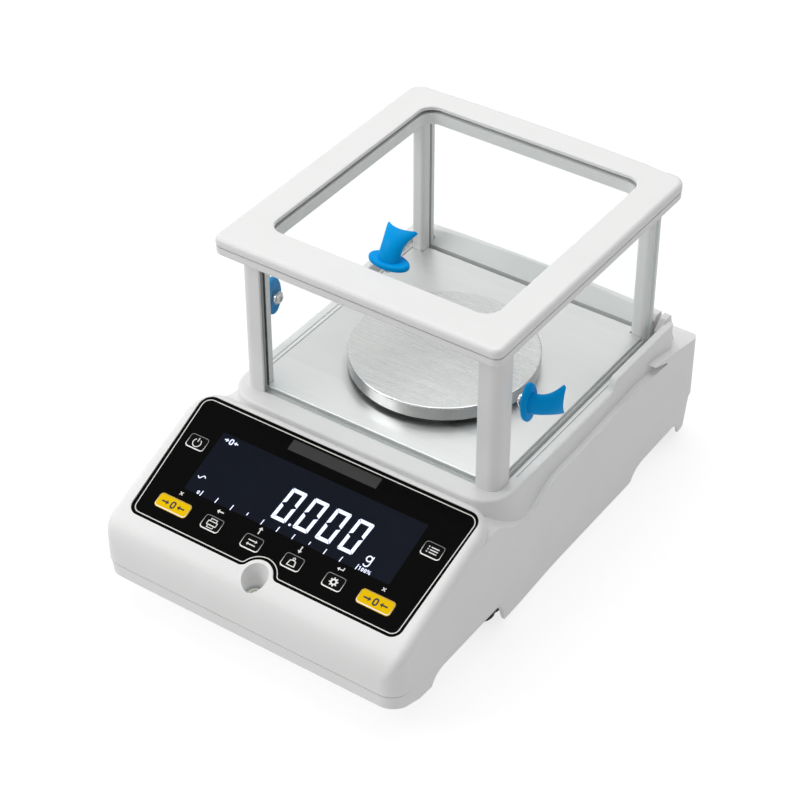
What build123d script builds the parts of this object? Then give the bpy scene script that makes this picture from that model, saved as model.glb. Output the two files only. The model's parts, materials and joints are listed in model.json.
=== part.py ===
"""Analytical balance with a glass draft shield, one STEP file per separate piece.

Millimetres, +Z up, +Y towards the back, +X to the operator's right.
The origin is on the table under the middle of the balance.
"""
from build123d import *
import os
from math import cos, radians, sin, tan

# ---- driving dimensions: the whole balance ---------------------------------------------
BODY_LENGTH = 350.0
FRONT_Y = -BODY_LENGTH / 2
REAR_Y = BODY_LENGTH / 2
PAN_Y = 33.0                  # the weighing axis
CONSOLE_HALF = 107.0          # half width of the display end
TAIL_HALF = 105.5             # half width of the weighing end
WAIST_FRONT_Y = -52.0         # the sides draw in between these two places
WAIST_REAR_Y = 10.0
FRONT_CORNER_R = 12.0
REAR_CORNER_R = 12.0
WALL = 2.5
FIT = 0.05                    # gap between two pieces that are assembled by hand

# ---- display panel: a sloping plane ----------------------------------------------------
PANEL_Y = -118.5
PANEL_Z = 80.5
PANEL_TILT = 21.7             # degrees
PANEL_LENGTH = 89.4
PANEL_TOP_HALF = 100.5
PANEL_FOOT_HALF = 97.0
PANEL_TOP_R = 8.0
PANEL_FOOT_R = 7.0
OVERLAY_T = 0.8
PANEL_WALL = 3.6
NOTCH_R = 10.5                # the bay round the spirit level
NOTCH_V = -46.5
NOTCH_BLEND_R = 5.0

# ---- keys and display ------------------------------------------------------------------
KEY_W = 14.0
KEY_H = 10.2
WIDE_KEY_W = 23.5
WIDE_KEY_H = 9.8
KEY_CORNER_R = 2.4
KEY_PROUD = 0.2
KEY_T = 1.6
KEY_TRAVEL = 0.5
KEY_GAP = 0.2
KEY_STEM_R = 2.5
LOWER_KEYS_V = -29.4
LOWER_KEYS_PITCH = 29.25
UPPER_KEYS_V = 13.0
UPPER_KEYS_U = 85.0
ZERO_KEYS_U = 73.0
LCD_HALF_W = 74.0
LCD_LOW_V = -16.7
LCD_HIGH_V = 26.3
LCD_LEDGE = 2.0
LCD_T = 5.0
BOARD_T = 1.6
BOARD_DEPTH = 9.6             # top of the display board below the panel face
SWITCH_SIDE = 6.0

# ---- spirit level ----------------------------------------------------------------------
LEVEL_Y = -163.0
LEVEL_MOUTH_R = 8.6
LEVEL_FLOOR_R = 5.6
LEVEL_FLOOR_Z = 47.0
LEVEL_VIAL_R = 4.6

# ---- platform and weighing chamber -----------------------------------------------------
LEDGE_Z = 90.5
PLATE_Z = 94.0
PLATE_HALF = 87.2
PLATE_FRONT_Y = -46.6
PLATE_REAR_Y = 132.0
SHEET_T = 1.0
PLATFORM_HALF = 99.5
PLATFORM_FRONT_Y = -62.0
PLATFORM_REAR_Y = 149.5
PLATFORM_CORNER_R = 22.0
PLATFORM_REAR_R = 8.0
RAIL_IN = 88.0
RAIL_OUT = 90.4
RAIL_DEPTH = 3.2
FENCE_IN = 94.0
FENCE_OUT = PLATFORM_HALF
FENCE_H = 7.6
FENCE_RAMP_FRONT_Y = 68.0
FENCE_RAMP_REAR_Y = 78.0
BACK_WALL_END_H = 10.0
BACK_WALL_MID_H = 13.0

# ---- draft shield ----------------------------------------------------------------------
FRAME_LOW_Z = 194.0
FRAME_SPLIT_Z = 200.2         # the joint line round the outside of the frame
FRAME_LAND_Z = 203.6          # where the cover rests, inside that line
FRAME_HIGH_Z = 206.0
FRAME_HALF = 99.5
FRAME_FRONT_Y = -65.0
FRAME_REAR_Y = 146.5
FRAME_REAR_BOW = 2.5
FRAME_FRONT_R = 6.0
FRAME_REAR_R = 10.0
FRAME_LAND_INSET = 5.0
OPENING_HALF = 78.0
OPENING_FRONT_Y = -39.0
OPENING_REAR_Y = 129.0
OPENING_CORNER_R = 10.0
POST_W = 14.5
POST_D = 14.5
POST_INNER_D = 10.0           # the front posts are shallower towards the chamber
POST_STEP_X = 86.0
FRONT_POST_OUT = 91.5
FRONT_POST_Y = -50.5
REAR_POST_OUT = 87.8
REAR_POST_IN = 78.8
REAR_POST_Y = 125.5
GLASS_T = 2.0

# ---- door knobs ------------------------------------------------------------------------
KNOB_FLANGE_L = 27.0
KNOB_FLANGE_W = 15.0
KNOB_FLANGE_T = 4.0
KNOB_SADDLE_R = 14.0
KNOB_SADDLE_DEPTH = 3.2
KNOB_Y = -19.0
KNOB_Z = 139.0
TOP_KNOB_Y = -26.6

# ---- weighing pan and mechanism --------------------------------------------------------
PAN_R = 60.0
PAN_TOP_Z = 106.0
PAN_SKIRT_H = 9.0
PAN_SHEET_T = 1.2
SPINDLE_R = 5.0
CELL_LENGTH = 130.0
CELL_WIDTH = 30.0
CELL_HEIGHT = 22.0
CELL_LOW_Z = 42.0

# ---- lower case and feet ---------------------------------------------------------------
PARTING_FRONT_Z = 34.0
PARTING_MID_Z = 26.5
PARTING_REAR_Z = 31.0
FLOOR_LOW_Z = 21.5
FLOOR_HIGH_Z = 24.0
SKIRT_DRAFT = 2.4
FOOT_X = 86.0
FOOT_FRONT_Y = -57.0
FOOT_REAR_Y = 151.0
FOOT_WHEEL_R = 15.0
FOOT_WHEEL_LOW_Z = 8.5
FOOT_WHEEL_T = 10.0
FOOT_STUD_R = 4.0
FOOT_PAD_R = 10.0
FOOT_PAD_T = 5.0
RUNNING_GAP = 0.06

panel_plane = Plane(
    origin=(0, PANEL_Y, PANEL_Z),
    x_dir=(1, 0, 0),
    z_dir=(0, -sin(radians(PANEL_TILT)), cos(radians(PANEL_TILT))),
)
nodes = {}


# ---- small helpers ---------------------------------------------------------------------
def block(x, y, z):
    """A box from its (low, high) pairs."""
    size = [high - low for low, high in (x, y, z)]
    centre = [(high + low) / 2 for low, high in (x, y, z)]
    return Pos(*centre) * Box(*size)


def rod(x, y, z, radius):
    """An upright cylinder between the two heights in z."""
    return Pos(x, y, (z[0] + z[1]) / 2) * Cylinder(radius, z[1] - z[0])


def upright(sketch, z):
    """A plan sketch carried up between the two heights in z."""
    return extrude(Pos(0, 0, z[0]) * sketch, z[1] - z[0])


def side_slab(points, half):
    """A side outline in (y, z) carried across the balance, to half on each side."""
    return extrude(Plane.YZ * make_face(Polyline(*points, close=True)), half, both=True)


def panel_slab(sketch, low, high):
    """A sketch in the panel's own plane, between two depths measured from its face."""
    return extrude(panel_plane * Pos(0, 0, low) * sketch, high - low)


def rounded(width, height, radius):
    return RectangleRounded(width, height, radius)


def mirrored(shape):
    return mirror(shape, Plane.YZ)


def keep(name, shape):
    nodes[name] = shape


# ---- outlines --------------------------------------------------------------------------
def body_outline(inset=0.0):
    """The case seen from above, drawn in by inset all round."""
    wide = CONSOLE_HALF - inset
    narrow = TAIL_HALF - inset
    front = FRONT_Y + inset
    rear = REAR_Y - inset
    front_r = FRONT_CORNER_R - inset / 2
    rear_r = REAR_CORNER_R - inset / 2
    with BuildLine() as half:
        Line((0, front), (wide - front_r, front))
        CenterArc((wide - front_r, front + front_r), front_r, -90, 90)
        Line((wide, front + front_r), (wide, WAIST_FRONT_Y))
        Spline((wide, WAIST_FRONT_Y), (narrow, WAIST_REAR_Y), tangents=[(0, 1), (0, 1)])
        Line((narrow, WAIST_REAR_Y), (narrow, rear - rear_r))
        CenterArc((narrow - rear_r, rear - rear_r), rear_r, 0, 90)
        Line((narrow - rear_r, rear), (0, rear))
        mirror(about=Plane.YZ)
    return make_face(half.edges())


def parting_height(lift=0.0):
    """A slab with the case's parting surface as its top, down to well below the table."""
    with BuildLine() as edge:
        Spline(
            (FRONT_Y - 5, PARTING_FRONT_Z + lift),
            (-118, PARTING_MID_Z + 1 + lift),
            (40, PARTING_MID_Z + lift),
            (REAR_Y + 5, PARTING_REAR_Z + lift),
        )
        Line((REAR_Y + 5, PARTING_REAR_Z + lift), (REAR_Y + 5, -20))
        Line((REAR_Y + 5, -20), (FRONT_Y - 5, -20))
        Line((FRONT_Y - 5, -20), (FRONT_Y - 5, PARTING_FRONT_Z + lift))
    return extrude(Plane.YZ * make_face(edge.edges()), CONSOLE_HALF + 10, both=True)


def panel_outline(inset=0.0):
    """The overlay's outline in the panel plane, with the bay round the spirit level."""
    top_v = PANEL_LENGTH / 2 - inset
    foot_v = -PANEL_LENGTH / 2 + inset
    top_half = PANEL_TOP_HALF - inset
    foot_half = PANEL_FOOT_HALF - inset
    bay = NOTCH_R + inset
    corners = Polyline(
        (-foot_half, foot_v), (foot_half, foot_v), (top_half, top_v), (-top_half, top_v), close=True
    )
    sheet = make_face(corners)
    low_corners = sheet.vertices().sort_by(Axis.Y)[:2]
    sheet = fillet(low_corners, PANEL_FOOT_R)
    high_corners = sheet.vertices().sort_by(Axis.Y)[-2:]
    sheet = fillet(high_corners, PANEL_TOP_R)
    sheet -= Pos(0, NOTCH_V) * Circle(bay)
    bay_corners = [v for v in sheet.vertices() if abs(v.X) < bay + 0.1 and v.Y < foot_v + 0.1]
    return fillet(bay_corners, NOTCH_BLEND_R)


def on_panel(v, depth=0.0):
    """Where a place v up the panel, depth above its face, lies in (y, z)."""
    tilt = radians(PANEL_TILT)
    y = PANEL_Y + v * cos(tilt) - depth * sin(tilt)
    z = PANEL_Z + v * sin(tilt) + depth * cos(tilt)
    return (y, z)


key_places = {
    "key_power": (-UPPER_KEYS_U, UPPER_KEYS_V, KEY_W, KEY_H),
    "key_mode": (UPPER_KEYS_U, UPPER_KEYS_V, KEY_W, KEY_H),
    "key_zero_left": (-ZERO_KEYS_U, LOWER_KEYS_V, WIDE_KEY_W, WIDE_KEY_H),
    "key_print": (-1.5 * LOWER_KEYS_PITCH, LOWER_KEYS_V, KEY_W, KEY_H),
    "key_unit": (-0.5 * LOWER_KEYS_PITCH, LOWER_KEYS_V, KEY_W, KEY_H),
    "key_calibrate": (0.5 * LOWER_KEYS_PITCH, LOWER_KEYS_V, KEY_W, KEY_H),
    "key_setup": (1.5 * LOWER_KEYS_PITCH, LOWER_KEYS_V, KEY_W, KEY_H),
    "key_zero_right": (ZERO_KEYS_U, LOWER_KEYS_V, WIDE_KEY_W, WIDE_KEY_H),
}
lcd_mid_v = (LCD_LOW_V + LCD_HIGH_V) / 2
lcd_height = LCD_HIGH_V - LCD_LOW_V


# ---- the upper case --------------------------------------------------------------------
CONSOLE_RIM = 0.7             # how far the rim stands above the panel face
CONSOLE_REAR_Y = -70.0
CONSOLE_REAR_R = 19.0
NOSE_R = 23.0
CONSOLE_EDGE_R = 6.0
INNER_CEILING_Z = 66.0
FRONT_GLASS_Y = -48.0
REAR_GLASS_Y = 134.0
BACK_WALL_FRONT_Y = 135.7
BACK_WALL_FACE_Z = 94.0       # the foot of the back wall's sloping face
BACK_WALL_CREST_Y = 147.0
SHELF_FALL_Y = 148.0
SHELF_FALL_Z = 79.5
SHELF_END_Z = 74.0
SHELF_END_R = 7.0
TAIL_END_Y = 169.0
TAIL_END_Z = 66.0
DECK_EDGE_R = 2.0
DECK_FLARE = ((LEDGE_Z, 0.0), (83.0, 0.5), (77.5, 2.2), (73.0, 5.0), (69.0, 9.5))
PARTING_GROOVE = 0.8


def console_block(inset=0.0):
    """The display end: a wedge with a rounded nose, its top parallel to the panel."""
    drop = CONSOLE_RIM - inset
    front = FRONT_Y + inset
    rear = CONSOLE_REAR_Y - inset
    nose_corner = ((front - PANEL_Y) * tan(radians(PANEL_TILT)) + PANEL_Z
                   + drop / cos(radians(PANEL_TILT)))
    top_corner = ((rear - PANEL_Y) * tan(radians(PANEL_TILT)) + PANEL_Z
                  + drop / cos(radians(PANEL_TILT)))
    side = make_face(Polyline((front, 20), (front, nose_corner), (rear, top_corner), (rear, 20), close=True))
    nose = side.vertices().sort_by_distance((front, nose_corner, 0))[0]
    side = fillet(nose, NOSE_R - inset)
    rear_part = Pos(0, rear - 120) * rounded(2 * (CONSOLE_HALF + 20), 240, CONSOLE_REAR_R)
    plan = body_outline(inset) & rear_part
    plan &= Pos(0, rear - 120) * rounded(2 * (CONSOLE_HALF - inset), 240, CONSOLE_REAR_R - inset / 2)
    wedge = upright(plan, (20, 120)) & extrude(Plane.YZ * side, CONSOLE_HALF + 5, both=True)
    return wedge


def shelf_block():
    """The lower shoulder that runs from the console along both sides to the back."""
    fall = (SHELF_FALL_Z - SHELF_END_Z) / (REAR_Y - SHELF_FALL_Y)
    with BuildLine() as edge:
        Spline(
            (-100, 76), (-86, 86), (-76, 88), (-57, 78), (-40, 72.5), (-12, 77.5), (20, 79), (53, 80),
            (80, 80.5), (105, 80.7), (127, 80.4), (SHELF_FALL_Y, SHELF_FALL_Z),
            tangents=[(1, 1), (1, -fall)],
        )
        Line((SHELF_FALL_Y, SHELF_FALL_Z), (REAR_Y, SHELF_END_Z))
        Line((REAR_Y, SHELF_END_Z), (REAR_Y, 20))
        Line((REAR_Y, 20), (-100, 20))
        Line((-100, 20), (-100, 76))
    side = make_face(edge.edges())
    back_corner = side.vertices().sort_by_distance((REAR_Y, SHELF_END_Z, 0))[0]
    side = fillet(back_corner, SHELF_END_R)
    return upright(body_outline(), (20, 120)) & extrude(Plane.YZ * side, CONSOLE_HALF + 5, both=True)


def platform_plan(flare):
    """The weighing deck seen from above, grown by flare on every side."""
    front = PLATFORM_FRONT_Y - flare
    rear = PLATFORM_REAR_Y + flare
    plan = Pos(0, (front + rear) / 2) * Rectangle(2 * (PLATFORM_HALF + flare), rear - front)
    plan = fillet(plan.vertices().sort_by(Axis.Y)[:2], PLATFORM_CORNER_R + flare)
    return fillet(plan.vertices().sort_by(Axis.Y)[-2:], PLATFORM_REAR_R + flare)


def platform_block():
    """The raised deck under the weighing chamber, its sides flaring out as they go down."""
    deck = loft([Pos(0, 0, z) * platform_plan(flare) for z, flare in DECK_FLARE])
    top_face = deck.faces().sort_by(Axis.Z)[-1]
    deck = fillet(top_face.edges(), DECK_EDGE_R)
    return deck & upright(body_outline(), (20, 120))


def fence_block():
    """The raised side wall beside the rear of the chamber, with its S-shaped ramp."""
    top = LEDGE_Z + FENCE_H
    low = SHELF_END_Z
    rear = PLATFORM_REAR_Y - 1.0
    with BuildLine() as edge:
        Spline(
            (FENCE_RAMP_FRONT_Y, LEDGE_Z - 1), (FENCE_RAMP_REAR_Y, top), tangents=[(1, 0), (1, 0)]
        )
        Polyline(
            (FENCE_RAMP_REAR_Y, top), (rear - 3.5, top), (rear, LEDGE_Z - DECK_EDGE_R),
            (rear, low), (FENCE_RAMP_FRONT_Y, low), (FENCE_RAMP_FRONT_Y, LEDGE_Z - 1),
        )
    return Pos(FENCE_IN, 0, 0) * extrude(Plane.YZ * make_face(edge.edges()), FENCE_OUT - FENCE_IN)


def back_wall_block():
    """The crowned wall behind the rear glass, leaning back from the chamber."""
    end_z = LEDGE_Z + BACK_WALL_END_H
    mid_z = LEDGE_Z + BACK_WALL_MID_H
    with BuildLine() as edge:
        ThreePointArc((-FENCE_IN - 1, end_z), (0, mid_z), (FENCE_IN + 1, end_z))
        Polyline(
            (FENCE_IN + 1, end_z), (FENCE_IN + 1, SHELF_END_Z), (-FENCE_IN - 1, SHELF_END_Z),
            (-FENCE_IN - 1, end_z),
        )
    arch = extrude(Plane.XZ * make_face(edge.edges()), -REAR_Y)
    lean = side_slab(
        [(BACK_WALL_FRONT_Y, SHELF_END_Z), (BACK_WALL_FRONT_Y, BACK_WALL_FACE_Z),
         (BACK_WALL_CREST_Y, mid_z + 1), (BACK_WALL_CREST_Y + 1, mid_z + 1),
         (PLATFORM_REAR_Y + 3, 84), (PLATFORM_REAR_Y + 8, SHELF_END_Z)],
        FENCE_IN + 5,
    )
    return arch & lean


WELL_WALL = 2.0
BOSS_R = 4.2
SCREW_R = 1.5
SCREW_HEAD_R = 3.0
SCREW_HEAD_H = 2.2
BOSS_TOP_Z = 80.0
CASE_SCREW_PLACES = [(side * x, y) for side in (-1, 1) for x, y in ((93, -146), (93, 30), (80, 166))]
CONNECTOR_Z = 38.5
JACK_X = -58.0
JACK_R = 5.5
USB_X = -22.0
USB_SIZE = (12.6, 11.4)
SERIAL_X = 32.0
SERIAL_SIZE = (31.0, 12.6)
CONNECTOR_RECESS = 0.5
LCD_HOLE_HALF = LCD_HALF_W - LCD_LEDGE
KEY_POCKET_DEPTH = KEY_T - KEY_PROUD + KEY_TRAVEL + 0.1
tail_core = upright(body_outline(1), (20, 68)) & block((-120, 120), (-100, 200), (0, 200))
body_core = console_block(0.5) + tail_core


def key_stem_places(name):
    """A narrow key has one stem, and a wide key has two."""
    u, v, width, _ = key_places[name]
    if width > KEY_W:
        return [(u - width / 4, v), (u + width / 4, v)]
    return [(u, v)]


def console_edges(block):
    """The console's top edges, apart from the one where its top rolls into its nose."""
    found = []
    for edge in block.edges():
        run = edge.tangent_at(0.5)
        upright_edge = abs(run.Z) > 0.99
        level_front = abs(run.X) > 0.99 and edge.center().Y < -100
        if edge.center().Z > 40 and not upright_edge and not level_front:
            found.append(edge)
    return found


def front_post_zone(gap=0.0):
    """The floor space of the right front post, grown by gap."""
    low, high = LEDGE_Z - 1, PLATE_Z + 30
    inner = FRONT_POST_OUT - POST_W - gap
    front = FRONT_POST_Y - gap
    deep = block((POST_STEP_X - gap, FRONT_POST_OUT + gap), (front, FRONT_POST_Y + POST_D + gap), (low, high))
    return deep + block((inner, POST_STEP_X), (front, FRONT_POST_Y + POST_INNER_D + gap), (low, high))


def post_zones(gap=0.0):
    """The floor space of the four posts, grown by gap."""
    front = front_post_zone(gap)
    rear = block(
        (REAR_POST_IN - gap, REAR_POST_OUT + gap),
        (REAR_POST_Y - gap, REAR_POST_Y + POST_D + gap), (LEDGE_Z - 1, PLATE_Z + 30),
    )
    return [front, mirrored(front), rear, mirrored(rear)]


def rail_slots(low, high):
    """The two slots that the side doors run in, open at the back."""
    slot = block((RAIL_IN, RAIL_OUT), (FRONT_POST_Y + POST_D - 5, REAR_Y + 20), (low, high))
    return slot + mirrored(slot)


def make_upper_case():
    console = console_block()
    console = fillet(console_edges(console), CONSOLE_EDGE_R)
    fence = fence_block()
    fence_tops = [
        e for e in fence.edges() if abs(e.tangent_at(0.5).X) < 0.9 and e.center().Z > LEDGE_Z + 1
    ]
    fence = fillet(fence_tops, 1.2) & upright(platform_plan(0), (20, 120))
    back_wall = back_wall_block()
    crests = [
        e for e in back_wall.edges()
        if e.center().Z > BACK_WALL_FACE_Z + 4 and abs(e.tangent_at(0.5).X) > 0.9
    ]
    back_wall = chamfer(crests, 0.5)
    for zone in post_zones(0.1):
        back_wall -= zone
    case = platform_block() + shelf_block() + fence + mirrored(fence) + back_wall + console

    case -= console_block(PANEL_WALL)
    case -= upright(body_outline(WALL), (0, INNER_CEILING_Z)) & block((-120, 120), (-110, 200), (0, 200))
    case -= block((-84, 84), (PLATE_FRONT_Y + 4, 126), (INNER_CEILING_Z - 1, LEDGE_Z - WALL))
    case -= parting_height()

    for x, y in CASE_SCREW_PLACES:
        floor = FLOOR_HIGH_Z + 2.0
        post = rod(x, y, (floor, BOSS_TOP_Z), BOSS_R) - rod(x, y, (floor - 1, floor + 16), SCREW_R + FIT)
        case += post & body_core
    well = Pos(0, LEVEL_Y, 0) * (
        Pos(0, 0, (LEVEL_FLOOR_Z + 68) / 2 - WELL_WALL / 2)
        * Cone(LEVEL_FLOOR_R + WELL_WALL, LEVEL_MOUTH_R + WELL_WALL, 68 - LEVEL_FLOOR_Z + WELL_WALL)
    )
    case += well & body_core
    case -= Pos(0, LEVEL_Y, (LEVEL_FLOOR_Z + 68) / 2) * Cone(
        LEVEL_FLOOR_R, LEVEL_MOUTH_R + 0.3, 68 - LEVEL_FLOOR_Z
    )

    case -= panel_slab(panel_outline(), -OVERLAY_T, 12)
    case -= panel_slab(
        Pos(0, lcd_mid_v) * rounded(2 * LCD_HOLE_HALF, lcd_height - 2 * LCD_LEDGE, 1.0), -20, 1
    )
    for name, (u, v, width, height) in key_places.items():
        pocket = Pos(u, v) * rounded(width + 2 * KEY_GAP, height + 2 * KEY_GAP, KEY_CORNER_R + KEY_GAP)
        case -= panel_slab(pocket, -KEY_POCKET_DEPTH, 1)
        for stem_u, stem_v in key_stem_places(name):
            case -= panel_slab(Pos(stem_u, stem_v) * Circle(KEY_STEM_R + 0.08), -20, 1)

    case -= rail_slots(LEDGE_Z - RAIL_DEPTH, 130)
    case -= block(
        (-FRONT_POST_OUT + POST_W + 2.5 - 5, FRONT_POST_OUT - POST_W - 2.5 + 5),
        (FRONT_GLASS_Y - 1.2, FRONT_GLASS_Y + 1.4), (LEDGE_Z - 1.6, LEDGE_Z + 1),
    )
    for side in (-1, 1):
        case -= block(sorted((side * 92.6, side * 93.4)), (-30, 126), (LEDGE_Z - 0.7, LEDGE_Z + 1))
    case -= rod(0, PAN_Y, (60, 95), 12.5)

    rear_wall = (REAR_Y - 8, REAR_Y + 5)
    case -= Pos(JACK_X, REAR_Y, CONNECTOR_Z) * Rotation(90, 0, 0) * Cylinder(JACK_R + 0.2, 16)
    for x, (width, height) in ((USB_X, USB_SIZE), (SERIAL_X, SERIAL_SIZE)):
        case -= block(
            (x - width / 2 - 0.2, x + width / 2 + 0.2), rear_wall,
            (CONNECTOR_Z - height / 2 - 0.2, CONNECTOR_Z + height / 2 + 0.2),
        )
    keep("upper_case", case)


def make_lower_case():
    sides = loft([Pos(0, 0, 40) * body_outline(), body_outline(SKIRT_DRAFT * 40 / 34)], ruled=True)
    case = sides & parting_height(-0.3)
    groove = parting_height(-0.3) - parting_height(-0.3 - PARTING_GROOVE)
    case -= groove - upright(body_outline(1.1), (0, 60))
    case -= upright(body_outline(WALL + 2.2), (FLOOR_HIGH_Z, 60))
    case -= upright(body_outline(SKIRT_DRAFT + WALL + 1), (-10, FLOOR_LOW_Z))
    with BuildLine() as edge:
        Polyline((FRONT_Y - 5, -5), (FRONT_Y - 5, 24.5), (FRONT_Y + 8, 21), (-148, 13.5), (-136, 12.5))
        Spline((-136, 12.5), (-124, 21.4), tangents=[(0.4, 1), (1, 0)])
        Line((-124, 21.4), (-70, 21.4))
        Spline((-70, 21.4), (-57, 3.2), tangents=[(1, 0), (0.5, -1)])
        Polyline((-57, 3.2), (94, 2.6), (96, 3.4))
        Spline((96, 3.4), (109, 12.5), tangents=[(0.3, 1), (1, 0.1)])
        Line((109, 12.5), (146, 13.5))
        Spline((146, 13.5), (157, 3.0), tangents=[(1, 0), (0.5, -1)])
        Polyline((157, 3.0), (REAR_Y - 6, 4.0), (REAR_Y + 5, 9), (REAR_Y + 5, -5), (FRONT_Y - 5, -5))
    case -= extrude(Plane.YZ * make_face(edge.edges()), CONSOLE_HALF + 5, both=True)
    for x in (-FOOT_X, FOOT_X):
        for y in (FOOT_FRONT_Y, FOOT_REAR_Y):
            case += rod(x, y, (FLOOR_LOW_Z, 44), 8.0)
            case -= rod(x, y, (0, FOOT_WHEEL_LOW_Z + FOOT_WHEEL_T + 2.8), FOOT_WHEEL_R + 1.5)
            case -= rod(x, y, (0, 42), FOOT_STUD_R + RUNNING_GAP)
    for x, y in CASE_SCREW_PLACES:
        case += rod(x, y, (FLOOR_LOW_Z, FLOOR_HIGH_Z + 2), BOSS_R + 1)
        case -= rod(x, y, (0, FLOOR_LOW_Z + SCREW_HEAD_H + 0.5), SCREW_HEAD_R + 0.2)
        case -= rod(x, y, (0, 60), SCREW_R + 0.15)
    for x in (-64, 64):
        for y in (108, 158):
            case += rod(x, y, (FLOOR_LOW_Z, 29), 3.5)
    case -= rod(0, PAN_Y, (0, 60), 9.0 + FIT)
    keep("lower_case", case)

    screws = Compound(children=[
        rod(x, y, (FLOOR_LOW_Z, FLOOR_LOW_Z + SCREW_HEAD_H), SCREW_HEAD_R)
        - extrude(Pos(x, y, FLOOR_LOW_Z) * RegularPolygon(1.4, 6), 1.4)
        + rod(x, y, (FLOOR_LOW_Z + SCREW_HEAD_H, FLOOR_HIGH_Z + 14), SCREW_R)
        for x, y in CASE_SCREW_PLACES
    ])
    keep("case_screws", screws)
    cover = rod(0, PAN_Y, (FLOOR_LOW_Z - 1.5, FLOOR_LOW_Z), 12.0)
    cover += rod(0, PAN_Y, (FLOOR_LOW_Z, FLOOR_HIGH_Z), 9.0)
    keep("hook_cover", cover - block((-5, 5), (PAN_Y - 0.8, PAN_Y + 0.8), (0, FLOOR_LOW_Z - 0.7)))


# ---- display end -----------------------------------------------------------------------
LCD_BEZEL_W = 156.0
LCD_BEZEL_H = 50.0
BOARD_W = 177.0
BOARD_LOW_V = -37.0
BOARD_HIGH_V = 34.0
CABLE_BOARD_V = -10.0
CABLE_X = 56.0
CABLE_WIDTH = 20.0
CABLE_T = 0.8
SWITCH_TOP_DEPTH = 6.3
STEM_END_DEPTH = SWITCH_TOP_DEPTH - KEY_TRAVEL - 0.1


def make_display():
    overlay = panel_slab(panel_outline(FIT), -OVERLAY_T, 0)
    window = Pos(0, lcd_mid_v) * rounded(2 * LCD_HALF_W, lcd_height, 1.5)
    overlay -= panel_slab(window, -5, 5)
    for u, v, width, height in key_places.values():
        hole = Pos(u, v) * rounded(width + 2 * KEY_GAP, height + 2 * KEY_GAP, KEY_CORNER_R + KEY_GAP)
        overlay -= panel_slab(hole, -5, 5)
    keep("keypad_overlay", overlay)
    pane = Pos(0, lcd_mid_v) * rounded(2 * (LCD_HALF_W - FIT), lcd_height - 2 * FIT, 1.4)
    keep("lcd_window", panel_slab(pane, -OVERLAY_T, 0))

    glass_top = -PANEL_WALL - FIT
    bezel = Pos(0, lcd_mid_v) * Rectangle(LCD_BEZEL_W, LCD_BEZEL_H)
    module = panel_slab(bezel, glass_top - LCD_T, glass_top)
    view = Pos(0, lcd_mid_v) * Rectangle(2 * LCD_HOLE_HALF - 4, lcd_height - 2 * LCD_LEDGE - 4)
    module -= panel_slab(view, glass_top - 0.6, 1)
    keep("lcd_module", module)

    board_mid_v = (BOARD_LOW_V + BOARD_HIGH_V) / 2
    board_plan = Pos(0, board_mid_v) * rounded(BOARD_W, BOARD_HIGH_V - BOARD_LOW_V, 3)
    board = panel_slab(board_plan, -BOARD_DEPTH - BOARD_T, -BOARD_DEPTH)
    for name in key_places:
        for u, v in key_stem_places(name):
            switch = Pos(u, v) * rounded(SWITCH_SIDE, SWITCH_SIDE, 0.6)
            board += panel_slab(switch, -BOARD_DEPTH, -SWITCH_TOP_DEPTH - 0.6)
            board += panel_slab(Pos(u, v) * Circle(1.7), -SWITCH_TOP_DEPTH - 0.6, -SWITCH_TOP_DEPTH)
    well_hole = rod(0, LEVEL_Y, (20, 100), LEVEL_MOUTH_R + WELL_WALL + 2)
    board -= well_hole
    for u, v, width, height in ((-30, 8, 14, 14), (12, 5, 20, 9), (48, 10, 9, 9)):
        chip = Pos(u, v) * Rectangle(width, height)
        board += panel_slab(chip, -BOARD_DEPTH - BOARD_T - 1.6, -BOARD_DEPTH - BOARD_T)
    keep("display_board", board)


def make_keys():
    for name, (u, v, width, height) in key_places.items():
        cap = panel_slab(Pos(u, v) * rounded(width, height, KEY_CORNER_R), KEY_PROUD - KEY_T, KEY_PROUD)
        top = cap.faces().sort_by(Axis((0, 0, 0), panel_plane.z_dir))[-1]
        cap = fillet(top.edges(), 0.3)
        for stem_u, stem_v in key_stem_places(name):
            cap += panel_slab(Pos(stem_u, stem_v) * Circle(KEY_STEM_R), -STEM_END_DEPTH, KEY_PROUD - KEY_T)
        keep(name, cap)


def make_level():
    ring = rod(0, LEVEL_Y, (LEVEL_FLOOR_Z, LEVEL_FLOOR_Z + 4), LEVEL_FLOOR_R - 0.15)
    vial_low = LEVEL_FLOOR_Z + 0.8
    ring -= rod(0, LEVEL_Y, (vial_low, LEVEL_FLOOR_Z + 5), LEVEL_VIAL_R)
    keep("level_ring", ring)
    vial = rod(0, LEVEL_Y, (vial_low, LEVEL_FLOOR_Z + 3.8), LEVEL_VIAL_R)
    keep("level_vial", fillet(vial.edges().sort_by(Axis.Z)[-1], 0.5))


# ---- weighing chamber and mechanism ----------------------------------------------------
PLATE_HOLE_R = 12.5
SUPPORT_R = 42.0
HUB_LOW_Z = 95.5
SPINDLE_TOP_Z = 101.5
CELL_FRONT_Y = -32.0
CELL_FIXED_L = 32.0
BRACKET_Z = 66.0


def make_chamber():
    plate_mid_y = (PLATE_FRONT_Y + PLATE_REAR_Y) / 2
    plate_plan = Pos(0, plate_mid_y) * rounded(2 * PLATE_HALF, PLATE_REAR_Y - PLATE_FRONT_Y, 1.5)
    plate = upright(plate_plan, (LEDGE_Z, PLATE_Z))
    plate = fillet(plate.faces().sort_by(Axis.Z)[-1].edges(), 0.6)
    plate -= block(
        (-PLATE_HALF + SHEET_T, PLATE_HALF - SHEET_T),
        (PLATE_FRONT_Y + SHEET_T, PLATE_REAR_Y - SHEET_T), (0, PLATE_Z - SHEET_T),
    )
    for zone in post_zones(0.25):
        plate -= zone
    plate -= rod(0, PAN_Y, (0, 120), PLATE_HOLE_R)
    keep("chamber_plate", plate)


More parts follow.
